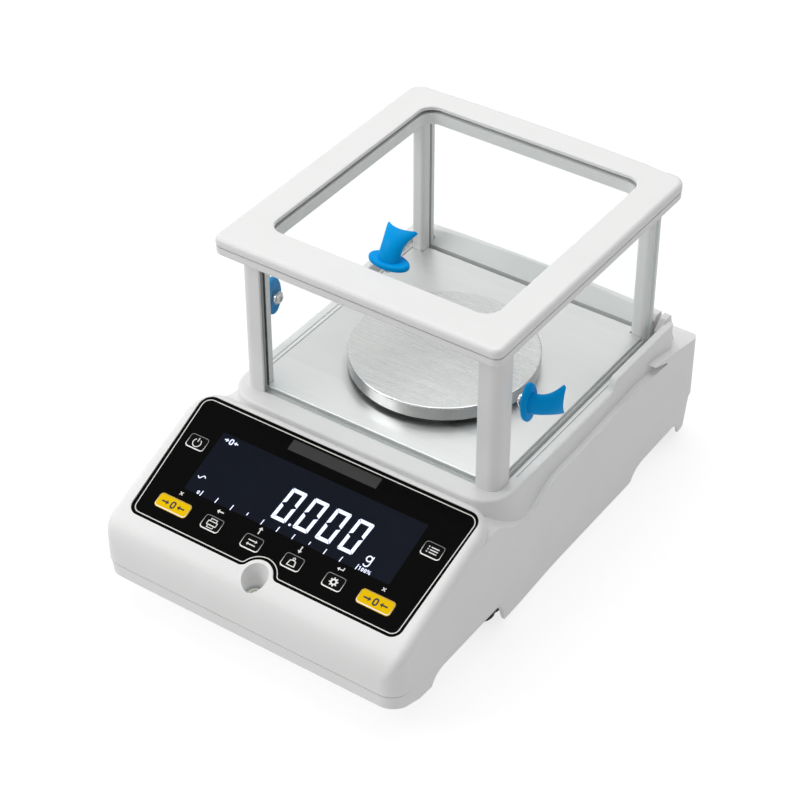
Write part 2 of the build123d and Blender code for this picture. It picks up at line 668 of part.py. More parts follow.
def make_pan():
    low = PAN_TOP_Z - PAN_SKIRT_H
    pan = rod(0, PAN_Y, (low, PAN_TOP_Z), PAN_R)
    pan = fillet(pan.edges().sort_by(Axis.Z)[-1], 0.9)
    pan -= rod(0, PAN_Y, (low - 1, PAN_TOP_Z - PAN_SHEET_T), PAN_R - PAN_SHEET_T)
    keep("weighing_pan", pan)
    under = PAN_TOP_Z - PAN_SHEET_T
    support = rod(0, PAN_Y, (under - 2.0, under), 16.0)
    for turn in (0, 60, 120):
        arm = Pos(0, PAN_Y, under - 1.25) * Rotation(0, 0, turn) * Box(2 * SUPPORT_R, 9.0, 2.5)
        support += arm
    support += rod(0, PAN_Y, (HUB_LOW_Z, under - 2), 9.0)
    support -= rod(0, PAN_Y, (HUB_LOW_Z - 1, SPINDLE_TOP_Z), SPINDLE_R + FIT)
    keep("pan_support", support)


def make_mechanism():
    cell_low = CELL_LOW_Z
    cell_high = CELL_LOW_Z + CELL_HEIGHT
    cell_rear_y = CELL_FRONT_Y + CELL_LENGTH
    cell = block((-CELL_WIDTH / 2, CELL_WIDTH / 2), (CELL_FRONT_Y, cell_rear_y), (cell_low, cell_high))
    mid_y = (CELL_FRONT_Y + cell_rear_y) / 2
    mid_z = (cell_low + cell_high) / 2
    for y in (mid_y - 22, mid_y + 22):
        cell -= Pos(0, y, mid_z) * Rotation(0, 90, 0) * Cylinder(8.0, CELL_WIDTH + 2)
    cell -= block((-CELL_WIDTH, CELL_WIDTH), (mid_y - 22, mid_y + 22), (mid_z - 3, mid_z + 3))
    keep("load_cell", cell)

    base = block((-22, 22), (cell_rear_y - CELL_FIXED_L, cell_rear_y + 4), (FLOOR_HIGH_Z, cell_low))
    base += block((-40, 40), (CELL_FRONT_Y + 4, cell_rear_y + 4), (FLOOR_HIGH_Z, FLOOR_HIGH_Z + 6))
    base -= rod(0, PAN_Y, (0, 60), 12)
    stop_z = (FLOOR_HIGH_Z + 6, cell_low - 0.5)
    base += rod(0, CELL_FRONT_Y + 14, stop_z, 4.0)
    keep("load_cell_base", base)

    bracket = block((-14, 14), (CELL_FRONT_Y, CELL_FRONT_Y + CELL_FIXED_L - 4), (cell_high, BRACKET_Z))
    bracket += block((-14, 14), (CELL_FRONT_Y, PAN_Y + 14), (BRACKET_Z, BRACKET_Z + 5))
    bracket += rod(0, PAN_Y, (BRACKET_Z + 5, BRACKET_Z + 9), 10)
    keep("pan_bracket", bracket)
    spindle = rod(0, PAN_Y, (BRACKET_Z + 9, SPINDLE_TOP_Z), SPINDLE_R)
    spindle = chamfer(spindle.edges().sort_by(Axis.Z)[-1], 0.8)
    keep("pan_spindle", spindle)


def make_electronics():
    board_z = 29.0
    board_top = board_z + BOARD_T
    board = block((-72, 72), (104, 164), (board_z, board_top))
    board += block((-50, -32), (112, 124), (board_top, board_top + 2))
    board += block((-12, 8), (116, 136), (board_top, board_top + 1.5))
    for x in (24, 36, 60):
        board += rod(x, 116, (board_top, board_top + 9), 4)
    board += block((48, 66), (128, 142), (board_top, board_top + 12))
    keep("main_board", board)

    rear = REAR_Y - CONNECTOR_RECESS
    jack = block((JACK_X - 6, JACK_X + 6), (153, REAR_Y - WALL - 0.5), (board_top, CONNECTOR_Z + 6.5))
    collar = Cylinder(JACK_R, rear - REAR_Y + 8)
    jack += Pos(JACK_X, (REAR_Y - 8 + rear) / 2, CONNECTOR_Z) * Rotation(90, 0, 0) * collar
    jack -= Pos(JACK_X, rear, CONNECTOR_Z) * Rotation(90, 0, 0) * Cylinder(3.0, 18)
    jack += Pos(JACK_X, rear - 5, CONNECTOR_Z) * Rotation(90, 0, 0) * Cylinder(1.0, 9)
    keep("dc_jack", jack)

    width, height = USB_SIZE
    usb = block((USB_X - width / 2, USB_X + width / 2), (155, rear), (board_top, CONNECTOR_Z + height / 2))
    usb -= block((USB_X - 100, USB_X + 100), (REAR_Y - WALL - 1, rear + 1), (0, CONNECTOR_Z - height / 2))
    usb -= block((USB_X - 4.3, USB_X + 4.3), (rear - 9, rear + 1), (CONNECTOR_Z - 3.9, CONNECTOR_Z + 3.9))
    usb += block((USB_X - 2.8, USB_X + 2.8), (rear - 9.5, rear - 1), (CONNECTOR_Z - 1.5, CONNECTOR_Z + 1.5))
    keep("usb_port", usb)

    width, height = SERIAL_SIZE
    port = block(
        (SERIAL_X - width / 2, SERIAL_X + width / 2), (REAR_Y - 6, rear),
        (CONNECTOR_Z - height / 2, CONNECTOR_Z + height / 2),
    )
    port += block((SERIAL_X - 10, SERIAL_X + 10), (156, REAR_Y - 6), (board_top, CONNECTOR_Z + 5))
    socket = Pos(SERIAL_X, rear + 1, CONNECTOR_Z) * extrude(Plane.XZ * rounded(17.5, 8.6, 2.2), 6)
    port -= socket
    for column in range(5):
        for row, shift in ((1.4, 0.0), (-1.4, 1.37)):
            if row < 0 and column == 4:
                continue
            x = SERIAL_X - 5.5 + column * 2.74 + shift
            port += Pos(x, REAR_Y - 2.5, CONNECTOR_Z + row) * Rotation(90, 0, 0) * Cylinder(0.5, 5)
    for x in (SERIAL_X - 12.5, SERIAL_X + 12.5):
        nut = extrude(Plane.XZ * RegularPolygon(2.4, 6), CONNECTOR_RECESS)
        port += Pos(x, REAR_Y, CONNECTOR_Z) * nut
    keep("serial_port", port)

    start_y, start_z = on_panel(CABLE_BOARD_V, -BOARD_DEPTH - BOARD_T)
    route = FilletPolyline(
        (start_y, start_z), (start_y + 5, start_z - 14), (-66, 34), (60, 34), (92, 39), (108, 39),
        (112, board_top), radius=3,
    )
    band = extrude(Plane.YZ * trace(route, CABLE_T), CABLE_WIDTH / 2, both=True)
    band = Pos(CABLE_X, 0, 0) * band
    band -= board
    keep("display_cable", band - nodes["display_board"])


# ---- draft shield ----------------------------------------------------------------------
DOOR_LOW_Z = LEDGE_Z - RAIL_DEPTH + 0.3
DOOR_HIGH_Z = FRAME_LOW_Z + 3.0
DOOR_FRONT_Y = FRONT_POST_Y + POST_D - 3.5
DOOR_REAR_Y = 131.0
TOP_DOOR_HALF = 84.0
TOP_DOOR_FRONT_Y = -44.0
TOP_DOOR_REAR_Y = 133.0
TOP_DOOR_LOW_Z = FRAME_LAND_Z - GLASS_T - 0.15
GLASS_HOLE_R = 2.2
POST_R = 7.0
SLOT_GAP = 0.15
GLASS_INTO_POST = 2.3


def frame_outline(inset=0.0):
    """The frame seen from above, its rear edge bowed, drawn in by inset all round."""
    half = FRAME_HALF - inset
    front = FRAME_FRONT_Y + inset
    rear = FRAME_REAR_Y - inset
    with BuildLine() as edge:
        Polyline((-half, rear), (-half, front), (half, front), (half, rear))
        ThreePointArc((half, rear), (0, rear + FRAME_REAR_BOW), (-half, rear))
    sheet = make_face(edge.edges())
    sheet = fillet(sheet.vertices().sort_by(Axis.Y)[-2:], FRAME_REAR_R - inset)
    return fillet(sheet.vertices().sort_by(Axis.Y)[:2], max(FRAME_FRONT_R - inset, 1.0))


def frame_opening(grow=0.0):
    length = OPENING_REAR_Y - OPENING_FRONT_Y + 2 * grow
    middle = (OPENING_FRONT_Y + OPENING_REAR_Y) / 2
    return Pos(0, middle) * rounded(2 * (OPENING_HALF + grow), length, OPENING_CORNER_R + grow)


def make_frames():
    cover = upright(frame_outline(), (FRAME_SPLIT_Z, FRAME_HIGH_Z))
    cover = fillet(cover.faces().sort_by(Axis.Z)[-1].edges(), 3.0)
    cover = chamfer(cover.faces().sort_by(Axis.Z)[0].edges(), 0.5)
    cover -= upright(frame_opening(), (FRAME_SPLIT_Z - 1, FRAME_HIGH_Z + 1))
    cover -= upright(frame_outline(FRAME_LAND_INSET), (FRAME_SPLIT_Z - 1, FRAME_LAND_Z))
    cover -= block(
        (-TOP_DOOR_HALF - 0.2, TOP_DOOR_HALF + 0.2), (100, REAR_Y), (FRAME_SPLIT_Z - 1, FRAME_LAND_Z)
    )
    rim = [e for e in cover.faces().filter_by(Axis.Z).sort_by(Axis.Z)[-1].inner_wires()[0].edges()]
    cover = fillet(rim, 0.8)
    keep("shield_top_cover", cover)

    rail = upright(frame_outline(0.3), (FRAME_LOW_Z, FRAME_SPLIT_Z - 0.7))
    rail = fillet(rail.faces().sort_by(Axis.Z)[0].edges(), 1.6)
    rail += upright(frame_outline(1.4), (FRAME_SPLIT_Z - 1, FRAME_SPLIT_Z))
    rail += upright(frame_outline(FRAME_LAND_INSET + FIT), (FRAME_SPLIT_Z - 1, FRAME_LAND_Z))
    rail -= upright(frame_opening(-1.2), (FRAME_LOW_Z - 1, FRAME_HIGH_Z))
    rail -= block(
        (-TOP_DOOR_HALF - 0.2, TOP_DOOR_HALF + 0.2), (TOP_DOOR_FRONT_Y - 0.3, REAR_Y),
        (TOP_DOOR_LOW_Z - 0.15, FRAME_HIGH_Z),
    )
    rail -= rail_slots(FRAME_LOW_Z - 1, DOOR_HIGH_Z + 0.3)
    front_half = FRONT_POST_OUT - POST_W + GLASS_INTO_POST
    rear_half = REAR_POST_IN + GLASS_INTO_POST
    for y, half in ((FRONT_GLASS_Y, front_half), (REAR_GLASS_Y, rear_half)):
        rail -= block(
            (-half - SLOT_GAP, half + SLOT_GAP),
            (y - GLASS_T / 2 - SLOT_GAP, y + GLASS_T / 2 + SLOT_GAP), (FRAME_LOW_Z - 1, FRAME_LOW_Z + 2),
        )
    keep("shield_rail_frame", rail)


def make_posts():
    corner = Pos(POST_W / 2 - POST_R / 2, POST_R / 2 - POST_D / 2)
    front_plan = rounded(POST_W, POST_D, 0.6) - corner * Rectangle(POST_R, POST_R)
    front_plan += Pos(POST_W / 2 - POST_R, POST_R - POST_D / 2) * Circle(POST_R)
    front = upright(
        Pos(FRONT_POST_OUT - POST_W / 2, FRONT_POST_Y + POST_D / 2) * front_plan, (LEDGE_Z, FRAME_LOW_Z)
    )
    front -= block(
        (FRONT_POST_OUT - POST_W - 1, POST_STEP_X),
        (FRONT_POST_Y + POST_INNER_D, FRONT_POST_Y + POST_D + 1), (0, 300),
    )
    front -= rail_slots(0, 300)
    inner = FRONT_POST_OUT - POST_W
    front -= block(
        (inner - 1, inner + GLASS_INTO_POST + SLOT_GAP),
        (FRONT_GLASS_Y - GLASS_T / 2 - SLOT_GAP, FRONT_GLASS_Y + GLASS_T / 2 + SLOT_GAP), (0, 300),
    )
    keep("post_front_right", front)
    keep("post_front_left", mirrored(front))

    width = REAR_POST_OUT - REAR_POST_IN
    rear_plan = rounded(width, POST_D, 2.5)
    rear_plan = Pos(REAR_POST_IN + width / 2, REAR_POST_Y + POST_D / 2) * rear_plan
    rear = upright(rear_plan, (LEDGE_Z, FRAME_LOW_Z))
    rear -= block(
        (REAR_POST_IN - 1, REAR_POST_IN + GLASS_INTO_POST + SLOT_GAP),
        (REAR_GLASS_Y - GLASS_T / 2 - SLOT_GAP, REAR_GLASS_Y + GLASS_T / 2 + SLOT_GAP), (0, 300),
    )
    keep("post_rear_right", rear)
    keep("post_rear_left", mirrored(rear))


def make_glass():
    half = FRONT_POST_OUT - POST_W + GLASS_INTO_POST
    keep("front_glass", block(
        (-half, half), (FRONT_GLASS_Y - GLASS_T / 2, FRONT_GLASS_Y + GLASS_T / 2),
        (LEDGE_Z - 1.5, FRAME_LOW_Z + 1.8),
    ))
    half = REAR_POST_IN + GLASS_INTO_POST
    keep("rear_glass", block(
        (-half, half), (REAR_GLASS_Y - GLASS_T / 2, REAR_GLASS_Y + GLASS_T / 2),
        (LEDGE_Z, FRAME_LOW_Z + 1.8),
    ))
    inner = FRONT_POST_OUT - POST_W
    seal = block((inner - 0.8, inner), (FRONT_GLASS_Y + GLASS_T / 2, FRONT_GLASS_Y + GLASS_T / 2 + 1.2),
                 (PLATE_Z + 0.1, FRAME_LOW_Z))
    keep("front_glass_seals", Compound(children=[seal, mirrored(seal)]))

    door_x = (RAIL_IN + 0.2, RAIL_OUT - 0.2)
    door = block(door_x, (DOOR_FRONT_Y, DOOR_REAR_Y), (DOOR_LOW_Z, DOOR_HIGH_Z))
    door -= Pos(door_x[0], KNOB_Y, KNOB_Z) * Rotation(0, 90, 0) * Cylinder(GLASS_HOLE_R, 10)
    keep("door_right", door)
    keep("door_left", mirrored(door))
    top = block(
        (-TOP_DOOR_HALF, TOP_DOOR_HALF), (TOP_DOOR_FRONT_Y, TOP_DOOR_REAR_Y),
        (TOP_DOOR_LOW_Z, TOP_DOOR_LOW_Z + GLASS_T),
    )
    keep("door_top", top - rod(0, TOP_KNOB_Y, (0, 300), GLASS_HOLE_R))


def tail_section(out, across, lean, half_width, half_thickness):
    """One section of a knob's tail, out from the glass, across it, and leaning over."""
    plane = Plane(
        origin=(0, across, out), x_dir=(1, 0, 0), z_dir=(0, sin(radians(lean)), cos(radians(lean)))
    )
    return plane * Ellipse(half_width, half_thickness)


def knob_shape():
    """A door knob standing on z = 0: a flange, and a tail that leans over towards the back."""
    flange = extrude(Ellipse(KNOB_FLANGE_L / 2, KNOB_FLANGE_W / 2), KNOB_FLANGE_T)
    flange = fillet(flange.edges(), 1.8)
    tail = loft([
        tail_section(KNOB_FLANGE_T - 1.5, 0, 0, 7.2, 5.0),
        tail_section(8, 1.4, 22, 6.8, 4.5),
        tail_section(12.5, 4.8, 44, 7.2, 4.2),
        tail_section(15.4, 9.0, 60, 8.6, 3.7),
        tail_section(17.2, 14.0, 70, 10.3, 2.9),
    ])
    end = Plane(origin=(0, 14, 17.2), x_dir=(1, 0, 0), z_dir=(0, sin(radians(70)), cos(radians(70))))
    saddle = Rotation(90, 0, 0) * Cylinder(KNOB_SADDLE_R, 20)
    tail -= end * Pos(0, 0, KNOB_SADDLE_R - KNOB_SADDLE_DEPTH) * saddle
    return flange + tail - rod(0, 0, (-1, 8), SCREW_R + FIT)


def fastener_shape(glass):
    """The screw and washer that clamp a knob to glass of this thickness below z = 0."""
    washer = rod(0, 0, (-glass - 0.8, -glass), 4.2)
    head = rod(0, 0, (-glass - 2.4, -glass - 0.8), 2.9)
    head = fillet(head.edges().sort_by(Axis.Z)[0], 0.5)
    head -= extrude(Pos(0, 0, -glass - 2.5) * RegularPolygon(1.4, 6), 1.2)
    return washer + head + rod(0, 0, (-glass, 7.5), SCREW_R)


def make_knobs():
    knob = knob_shape()
    side_x = RAIL_OUT - 0.2
    right = Location((side_x, KNOB_Y, KNOB_Z), (0, 90, 0))
    side_fastener = fastener_shape(RAIL_OUT - RAIL_IN - 0.4)
    keep("knob_right", right * knob)
    keep("knob_left", mirrored(right * knob))
    keep("knob_screw_right", right * side_fastener)
    keep("knob_screw_left", mirrored(right * side_fastener))
    top = Pos(0, TOP_KNOB_Y, TOP_DOOR_LOW_Z + GLASS_T)
    keep("knob_top", top * knob)
    keep("knob_screw_top", top * fastener_shape(GLASS_T))


# ---- levelling feet --------------------------------------------------------------------
WHEEL_GRIPS = 28


def make_feet():
    wheel = rod(0, 0, (FOOT_WHEEL_LOW_Z, FOOT_WHEEL_LOW_Z + FOOT_WHEEL_T), FOOT_WHEEL_R)
    wheel = chamfer(wheel.edges(), 0.8)
    for grip in range(WHEEL_GRIPS):
        wheel -= Rotation(0, 0, 360 / WHEEL_GRIPS * grip) * rod(FOOT_WHEEL_R + 0.5, 0, (0, 30), 1.0)
    wheel -= rod(0, 0, (0, 30), FOOT_STUD_R)
    stud = rod(0, 0, (FOOT_PAD_T - 1.5, 36), FOOT_STUD_R)
    stud = chamfer(stud.edges().sort_by(Axis.Z)[-1], 0.8)
    pad = rod(0, 0, (0, FOOT_PAD_T), FOOT_PAD_R)
    pad = fillet(pad.edges().sort_by(Axis.Z)[-1], 1.5)
    pad -= rod(0, 0, (FOOT_PAD_T - 1.5, 30), FOOT_STUD_R + RUNNING_GAP)
    for end, y in (("front", FOOT_FRONT_Y), ("rear", FOOT_REAR_Y)):
        for side, x in (("left", -FOOT_X), ("right", FOOT_X)):
            keep(f"foot_wheel_{end}_{side}", Pos(x, y, 0) * wheel)
            keep(f"foot_stud_{end}_{side}", Pos(x, y, 0) * stud)
            keep(f"foot_pad_{end}_{side}", Pos(x, y, 0) * pad)


def main():
    make_upper_case()
    make_lower_case()
    make_display()
    make_keys()
    make_level()
    make_chamber()
    make_pan()
    make_mechanism()
    make_electronics()
    make_frames()
    make_posts()
    make_glass()
    make_knobs()
    make_feet()
    os.makedirs("parts", exist_ok=True)
    for name, shape in nodes.items():
        export_step(shape, f"parts/{name}.step")


main()
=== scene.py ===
"""The looks of an analytical balance: materials, printed marks, light and camera around its CAD frame."""

import json
from math import atan2, cos, pi, radians, sin, sqrt

import bmesh
import bpy
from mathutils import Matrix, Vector


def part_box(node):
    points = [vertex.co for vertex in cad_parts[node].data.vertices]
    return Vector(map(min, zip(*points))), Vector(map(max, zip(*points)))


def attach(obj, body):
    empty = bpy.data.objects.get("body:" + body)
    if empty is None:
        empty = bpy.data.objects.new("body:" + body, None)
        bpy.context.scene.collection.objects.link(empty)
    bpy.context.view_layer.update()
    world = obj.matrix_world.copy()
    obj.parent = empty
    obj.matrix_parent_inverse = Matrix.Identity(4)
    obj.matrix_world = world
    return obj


MM = 0.001
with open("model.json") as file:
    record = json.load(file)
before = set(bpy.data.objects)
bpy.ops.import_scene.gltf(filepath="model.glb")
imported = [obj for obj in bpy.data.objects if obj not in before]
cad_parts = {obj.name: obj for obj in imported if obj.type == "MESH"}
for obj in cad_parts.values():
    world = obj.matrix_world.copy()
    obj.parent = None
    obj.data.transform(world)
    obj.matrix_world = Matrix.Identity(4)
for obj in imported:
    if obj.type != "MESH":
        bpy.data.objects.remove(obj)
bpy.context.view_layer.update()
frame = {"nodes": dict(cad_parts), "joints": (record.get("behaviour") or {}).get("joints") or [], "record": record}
scene = bpy.context.scene
scene.view_settings.view_transform = "Standard"


# ---- node helpers ----------------------------------------------------------------------
class Surface:
    """One node-based material: a Principled shader and short ways to drive its inputs."""

    def __init__(self, name):
        self.material = bpy.data.materials.new(name)
        self.material.use_nodes = True
        self.nodes = self.material.node_tree.nodes
        self.links = self.material.node_tree.links
        self.shader = self.nodes["Principled BSDF"]
        self.output = self.nodes["Material Output"]
        self.place = self.nodes.new("ShaderNodeTexCoord").outputs["Object"]

    def set(self, **values):
        for name, value in values.items():
            self.join(value, self.shader.inputs[name.replace("_", " ")])
        return self

    def join(self, value, socket):
        if isinstance(value, bpy.types.NodeSocket):
            self.links.new(value, socket)
        elif isinstance(value, tuple) and len(value) == 3 and socket.type == "RGBA":
            socket.default_value = (*value, 1)
        else:
            socket.default_value = value

    def add(self, kind, **inputs):
        node = self.nodes.new(kind)
        for name, value in inputs.items():
            self.join(value, node.inputs[name])
        return node

    def stretched(self, scale, where=(0, 0, 0)):
        node = self.add("ShaderNodeMapping", Vector=self.place, Scale=scale, Location=where)
        return node.outputs["Vector"]

    def noise(self, scale, detail=2.0, rough=0.5, vector=None):
        node = self.add(
            "ShaderNodeTexNoise", Vector=vector or self.place, Scale=scale, Detail=detail, Roughness=rough
        )
        return node.outputs["Fac"]

    def spread(self, value, low, high, at_low=0.0, at_high=1.0):
        """Maps value from (at_low, at_high) to (low, high), clamped."""
        node = self.nodes.new("ShaderNodeMapRange")
        for socket, number in zip(node.inputs, (value, at_low, at_high, low, high)):
            self.join(number, socket)
        return node.outputs["Result"]

    def maths(self, operation, *values):
        node = self.nodes.new("ShaderNodeMath")
        node.operation = operation
        for socket, value in zip(node.inputs, values):
            self.join(value, socket)
        return node.outputs["Value"]

    def mix(self, factor, first, second):
        node = self.nodes.new("ShaderNodeMix")
        node.data_type = "RGBA"
        self.join(factor, node.inputs["Factor"])
        colours = [socket for socket in node.inputs if socket.type == "RGBA"]
        self.join(first, colours[0])
        self.join(second, colours[1])
        return [socket for socket in node.outputs if socket.type == "RGBA"][0]

    def part_of(self, axis, vector=None):
        node = self.add("ShaderNodeSeparateXYZ", Vector=vector or self.place)
        return node.outputs[axis]

    def facing(self, axis):
        """How much the surface's own normal lies along this axis, 0 to 1."""
        geometry = self.nodes.new("ShaderNodeNewGeometry")
        return self.maths("ABSOLUTE", self.part_of(axis, geometry.outputs["Normal"]))

    def bump(self, height, strength, distance, normal=None):
        node = self.add("ShaderNodeBump", Height=height, Strength=strength, Distance=distance)
        if normal is not None:
            self.links.new(normal, node.inputs["Normal"])
        return node.outputs["Normal"]

    def soft_edges(self, radius):
        node = self.add("ShaderNodeBevel", Radius=radius)
        node.samples = 4
        return node.outputs["Normal"]


def shade(colour, factor):
    return tuple(min(1.0, part * factor) for part in colour)


def moulded(
    name, colour, rough, grain=1500.0, depth=0.00003, strength=0.25, mottle=0.03, soft=None, **more
):
    """Moulded plastic: a faint mottle, uneven gloss and a fine spark-eroded grain."""
    s = Surface(name)
    cloud = s.noise(35.0, 3.0)
    s.set(Base_Color=s.mix(cloud, shade(colour, 1 - mottle), shade(colour, 1 + mottle)))
    s.set(Roughness=s.spread(s.noise(260.0, 3.0), rough - 0.06, rough + 0.06, 0.3, 0.7))
    edges = s.soft_edges(soft) if soft else None
    s.set(Normal=s.bump(s.noise(grain, 2.0, 0.6), strength, depth, edges), **more)
    return s.material


def brushed(name, colour, rough, stretch, anisotropic=0.6, tangent=(1, 0, 0), contrast=0.10):
    """Metal brushed along the axis that stretch keeps small."""
    s = Surface(name)
    fine = s.noise(1.0, 4.0, 0.65, s.stretched(stretch))
    broad = s.noise(1.0, 2.0, 0.5, s.stretched(tuple(v * 0.12 for v in stretch), (3, 5, 7)))
    both = s.maths("ADD", s.maths("MULTIPLY", fine, 0.6), s.maths("MULTIPLY", broad, 0.4))
    depth = s.spread(both, 0, 1, 0.3, 0.7)
    s.set(Base_Color=s.mix(depth, shade(colour, 1 - contrast), shade(colour, 1 + contrast)))
    s.set(Metallic=1.0, Roughness=s.spread(both, rough - 0.05, rough + 0.07, 0.3, 0.7))
    direction = s.add("ShaderNodeCombineXYZ", X=float(tangent[0]), Y=float(tangent[1]), Z=float(tangent[2]))
    s.set(Anisotropic=anisotropic, Tangent=direction.outputs["Vector"])
    s.set(Normal=s.bump(fine, 0.12, 0.00002))
    return s.material


def turned(name, colour, rough, **more):
    """Machined or plated metal with fine tool marks and small stains."""
    s = Surface(name)
    marks = s.noise(1.0, 3.0, 0.6, s.stretched((900, 900, 5200)))
    stain = s.noise(120.0, 3.0)
    s.set(Base_Color=s.mix(stain, shade(colour, 0.9), shade(colour, 1.08)), Metallic=1.0)
    s.set(Roughness=s.spread(marks, rough - 0.06, rough + 0.08, 0.3, 0.7))
    s.set(Normal=s.bump(marks, 0.15, 0.00002), **more)
    return s.material


# ---- materials -------------------------------------------------------------------------
def make_glass():
    """Clear float glass: it mirrors by its Fresnel share and lets the rest through."""
    s = Surface("float_glass")
    clear = s.add("ShaderNodeBsdfTransparent", Color=(0.985, 0.992, 0.99)).outputs["BSDF"]
    mirror = s.add("ShaderNodeBsdfGlossy", Color=(0.97, 0.985, 0.98), Roughness=0.02).outputs["BSDF"]
    fresnel = s.add("ShaderNodeFresnel", IOR=1.25).outputs["Fac"]
    outer = s.maths("SUBTRACT", 1.0, s.nodes.new("ShaderNodeNewGeometry").outputs["Backfacing"])
    smear = s.spread(s.noise(22.0, 4.0), 0.8, 1.0, 0.35, 0.65)
    pane = s.nodes.new("ShaderNodeMixShader")
    s.join(s.maths("MULTIPLY", s.maths("MULTIPLY", fresnel, outer), smear), pane.inputs["Fac"])
    s.join(clear, pane.inputs[1])
    s.join(mirror, pane.inputs[2])
    s.links.new(pane.outputs["Shader"], s.output.inputs["Surface"])
    s.nodes.remove(s.shader)
    return s


def make_pane_glass(name, thin_axis):
    """A pane whose faces across thin_axis are clear and whose narrow edges are frosted, pale green."""
    s = make_glass()
    s.material.name = name
    face = s.facing(thin_axis)
    edge = s.spread(face, 1.0, 0.0, 0.3, 0.6)
    ground = s.add(
        "ShaderNodeBsdfPrincipled", **{"Base Color": (0.66, 0.72, 0.70), "Roughness": 0.3}
    )
    grit = s.noise(1800.0, 2.0)
    s.join(s.bump(grit, 0.3, 0.00003), ground.inputs["Normal"])
    s.join(s.mix(grit, (0.60, 0.67, 0.65), (0.72, 0.78, 0.76)), ground.inputs["Base Color"])
    whole = s.nodes.new("ShaderNodeMixShader")
    pane = s.output.inputs["Surface"].links[0].from_socket
    s.join(edge, whole.inputs["Fac"])
    s.join(pane, whole.inputs[1])
    s.join(ground.outputs["BSDF"], whole.inputs[2])
    s.links.new(whole.outputs["Shader"], s.output.inputs["Surface"])
    return s.material


def make_pan_steel():
    """The pan: its top is brushed straight across, its skirt round and round; the skirt's darker, banded colour is
    a painted reflection.
    """
    s = Surface("pan_steel")
    top = s.spread(s.facing("Z"), 0, 1, 0.4, 0.6)
    across = s.noise(1.0, 4.0, 0.65, s.stretched((30, 2600, 30)))
    streaks = s.noise(1.0, 1.0, 0.5, s.stretched((55, 900, 55), (1, 4, 2)))
    around = s.noise(1.0, 3.0, 0.6, s.stretched((14, 14, 2600)))
    grain = s.nodes.new("ShaderNodeMix")
    s.join(top, grain.inputs["Factor"])
    values = [socket for socket in grain.inputs if socket.type == "VALUE" and socket.name in ("A", "B")]
    s.join(around, values[0])
    s.join(across, values[1])
    fine = [socket for socket in grain.outputs if socket.type == "VALUE"][0]
    scratch = s.maths("MULTIPLY", s.spread(streaks, 0, 1, 0.68, 0.74), top)
    base = s.mix(s.spread(fine, 0, 1, 0.3, 0.7), (0.80, 0.80, 0.795), (0.88, 0.88, 0.875))
    # painted reflection: the skirt is coloured far darker than the top, in bands around it, to stand for the dark
    # surroundings it mirrors
    reflection_bands = s.spread(s.noise(1.0, 2.0, 0.5, s.stretched((26, 26, 2))), 0, 1, 0.35, 0.65)
    skirt = s.mix(reflection_bands, (0.30, 0.30, 0.30), (0.58, 0.58, 0.575))
    lid = s.mix(scratch, base, (0.95, 0.95, 0.95))
    s.set(Base_Color=s.mix(top, skirt, lid), Metallic=1.0)
    s.set(Roughness=s.maths("ADD", s.spread(top, 0.2, 0.27), s.spread(fine, -0.04, 0.05, 0.3, 0.7)))
    straight = s.add("ShaderNodeCombineXYZ", X=1.0).outputs["Vector"]
    ring = s.nodes.new("ShaderNodeTangent")
    ring.direction_type = "RADIAL"
    ring.axis = "Z"
    s.set(Anisotropic=0.55, Tangent=s.mix(top, ring.outputs["Tangent"], straight))
    s.set(Normal=s.bump(fine, 0.1, 0.00002))
    return s.material


def make_board(name, top_axis_height):
    """Green solder mask with tracks and pads; whatever stands above the mask is a dark part."""
    s = Surface(name)
    tracks = s.add("ShaderNodeTexBrick", Vector=s.stretched((160, 220, 160)))
    tracks.inputs["Mortar Size"].default_value = 0.03
    lines = tracks.outputs["Fac"]
    mask = s.mix(s.noise(90.0, 3.0), (0.01, 0.10, 0.045), (0.02, 0.16, 0.07))
    tracked = s.mix(s.maths("MULTIPLY", lines, 0.5), mask, (0.06, 0.30, 0.14))
    dots = s.add("ShaderNodeTexVoronoi", Vector=s.place, Scale=260.0)
    pads = s.spread(dots.outputs["Distance"], 1, 0, 0.12, 0.16)
    base = s.mix(pads, tracked, (0.72, 0.70, 0.62))
    standing = s.spread(s.part_of("Z"), 0, 1, top_axis_height, top_axis_height + 0.0002)
    s.set(Base_Color=s.mix(standing, base, (0.025, 0.025, 0.028)))
    s.set(Roughness=s.spread(s.noise(700.0), 0.3, 0.5))
    s.set(Metallic=s.maths("MULTIPLY", pads, s.spread(standing, 1, 0)))
    s.set(Normal=s.bump(lines, 0.2, 0.00003))
    return s.material


def make_ribbon():
    s = Surface("ribbon_cable")
    across = s.maths("FRACT", s.maths("MULTIPLY", s.part_of("X"), 1 / 0.00127))
    ridge = s.maths("SINE", s.maths("MULTIPLY", across, pi))
    # painted shade: the colour darkens into the grooves between the wires and lightens on the ridges
    s.set(Base_Color=s.mix(ridge, (0.26, 0.27, 0.29), (0.55, 0.56, 0.58)))
    s.set(Roughness=s.spread(s.noise(500.0), 0.4, 0.55), Normal=s.bump(ridge, 0.5, 0.0002))
    return s.material


def make_vial():
    """Acrylic over a pale fluid."""
    s = Surface("vial_acrylic")
    depth = s.noise(300.0, 2.0)
    s.set(Base_Color=s.mix(depth, (0.60, 0.66, 0.58), (0.72, 0.77, 0.68)))
    s.set(Roughness=s.spread(depth, 0.05, 0.14))
    s.set(Coat_Weight=0.6, Coat_Roughness=0.05, Normal=s.bump(depth, 0.03, 0.0001))
    return s.material


def make_print(name, colour, glow=0.0, rough=0.45):
    """Screen-printed ink or a lit display segment, with its slight speckle."""
    s = Surface(name)
    speckle = s.noise(2200.0, 2.0)
    ink = s.mix(speckle, shade(colour, 0.94), shade(colour, 1.04))
    s.set(Base_Color=ink, Roughness=s.spread(speckle, rough - 0.05, rough + 0.05))
    s.set(Normal=s.bump(speckle, 0.1, 0.00001))
    if glow:
        s.set(Emission_Color=ink, Emission_Strength=glow)
    return s.material


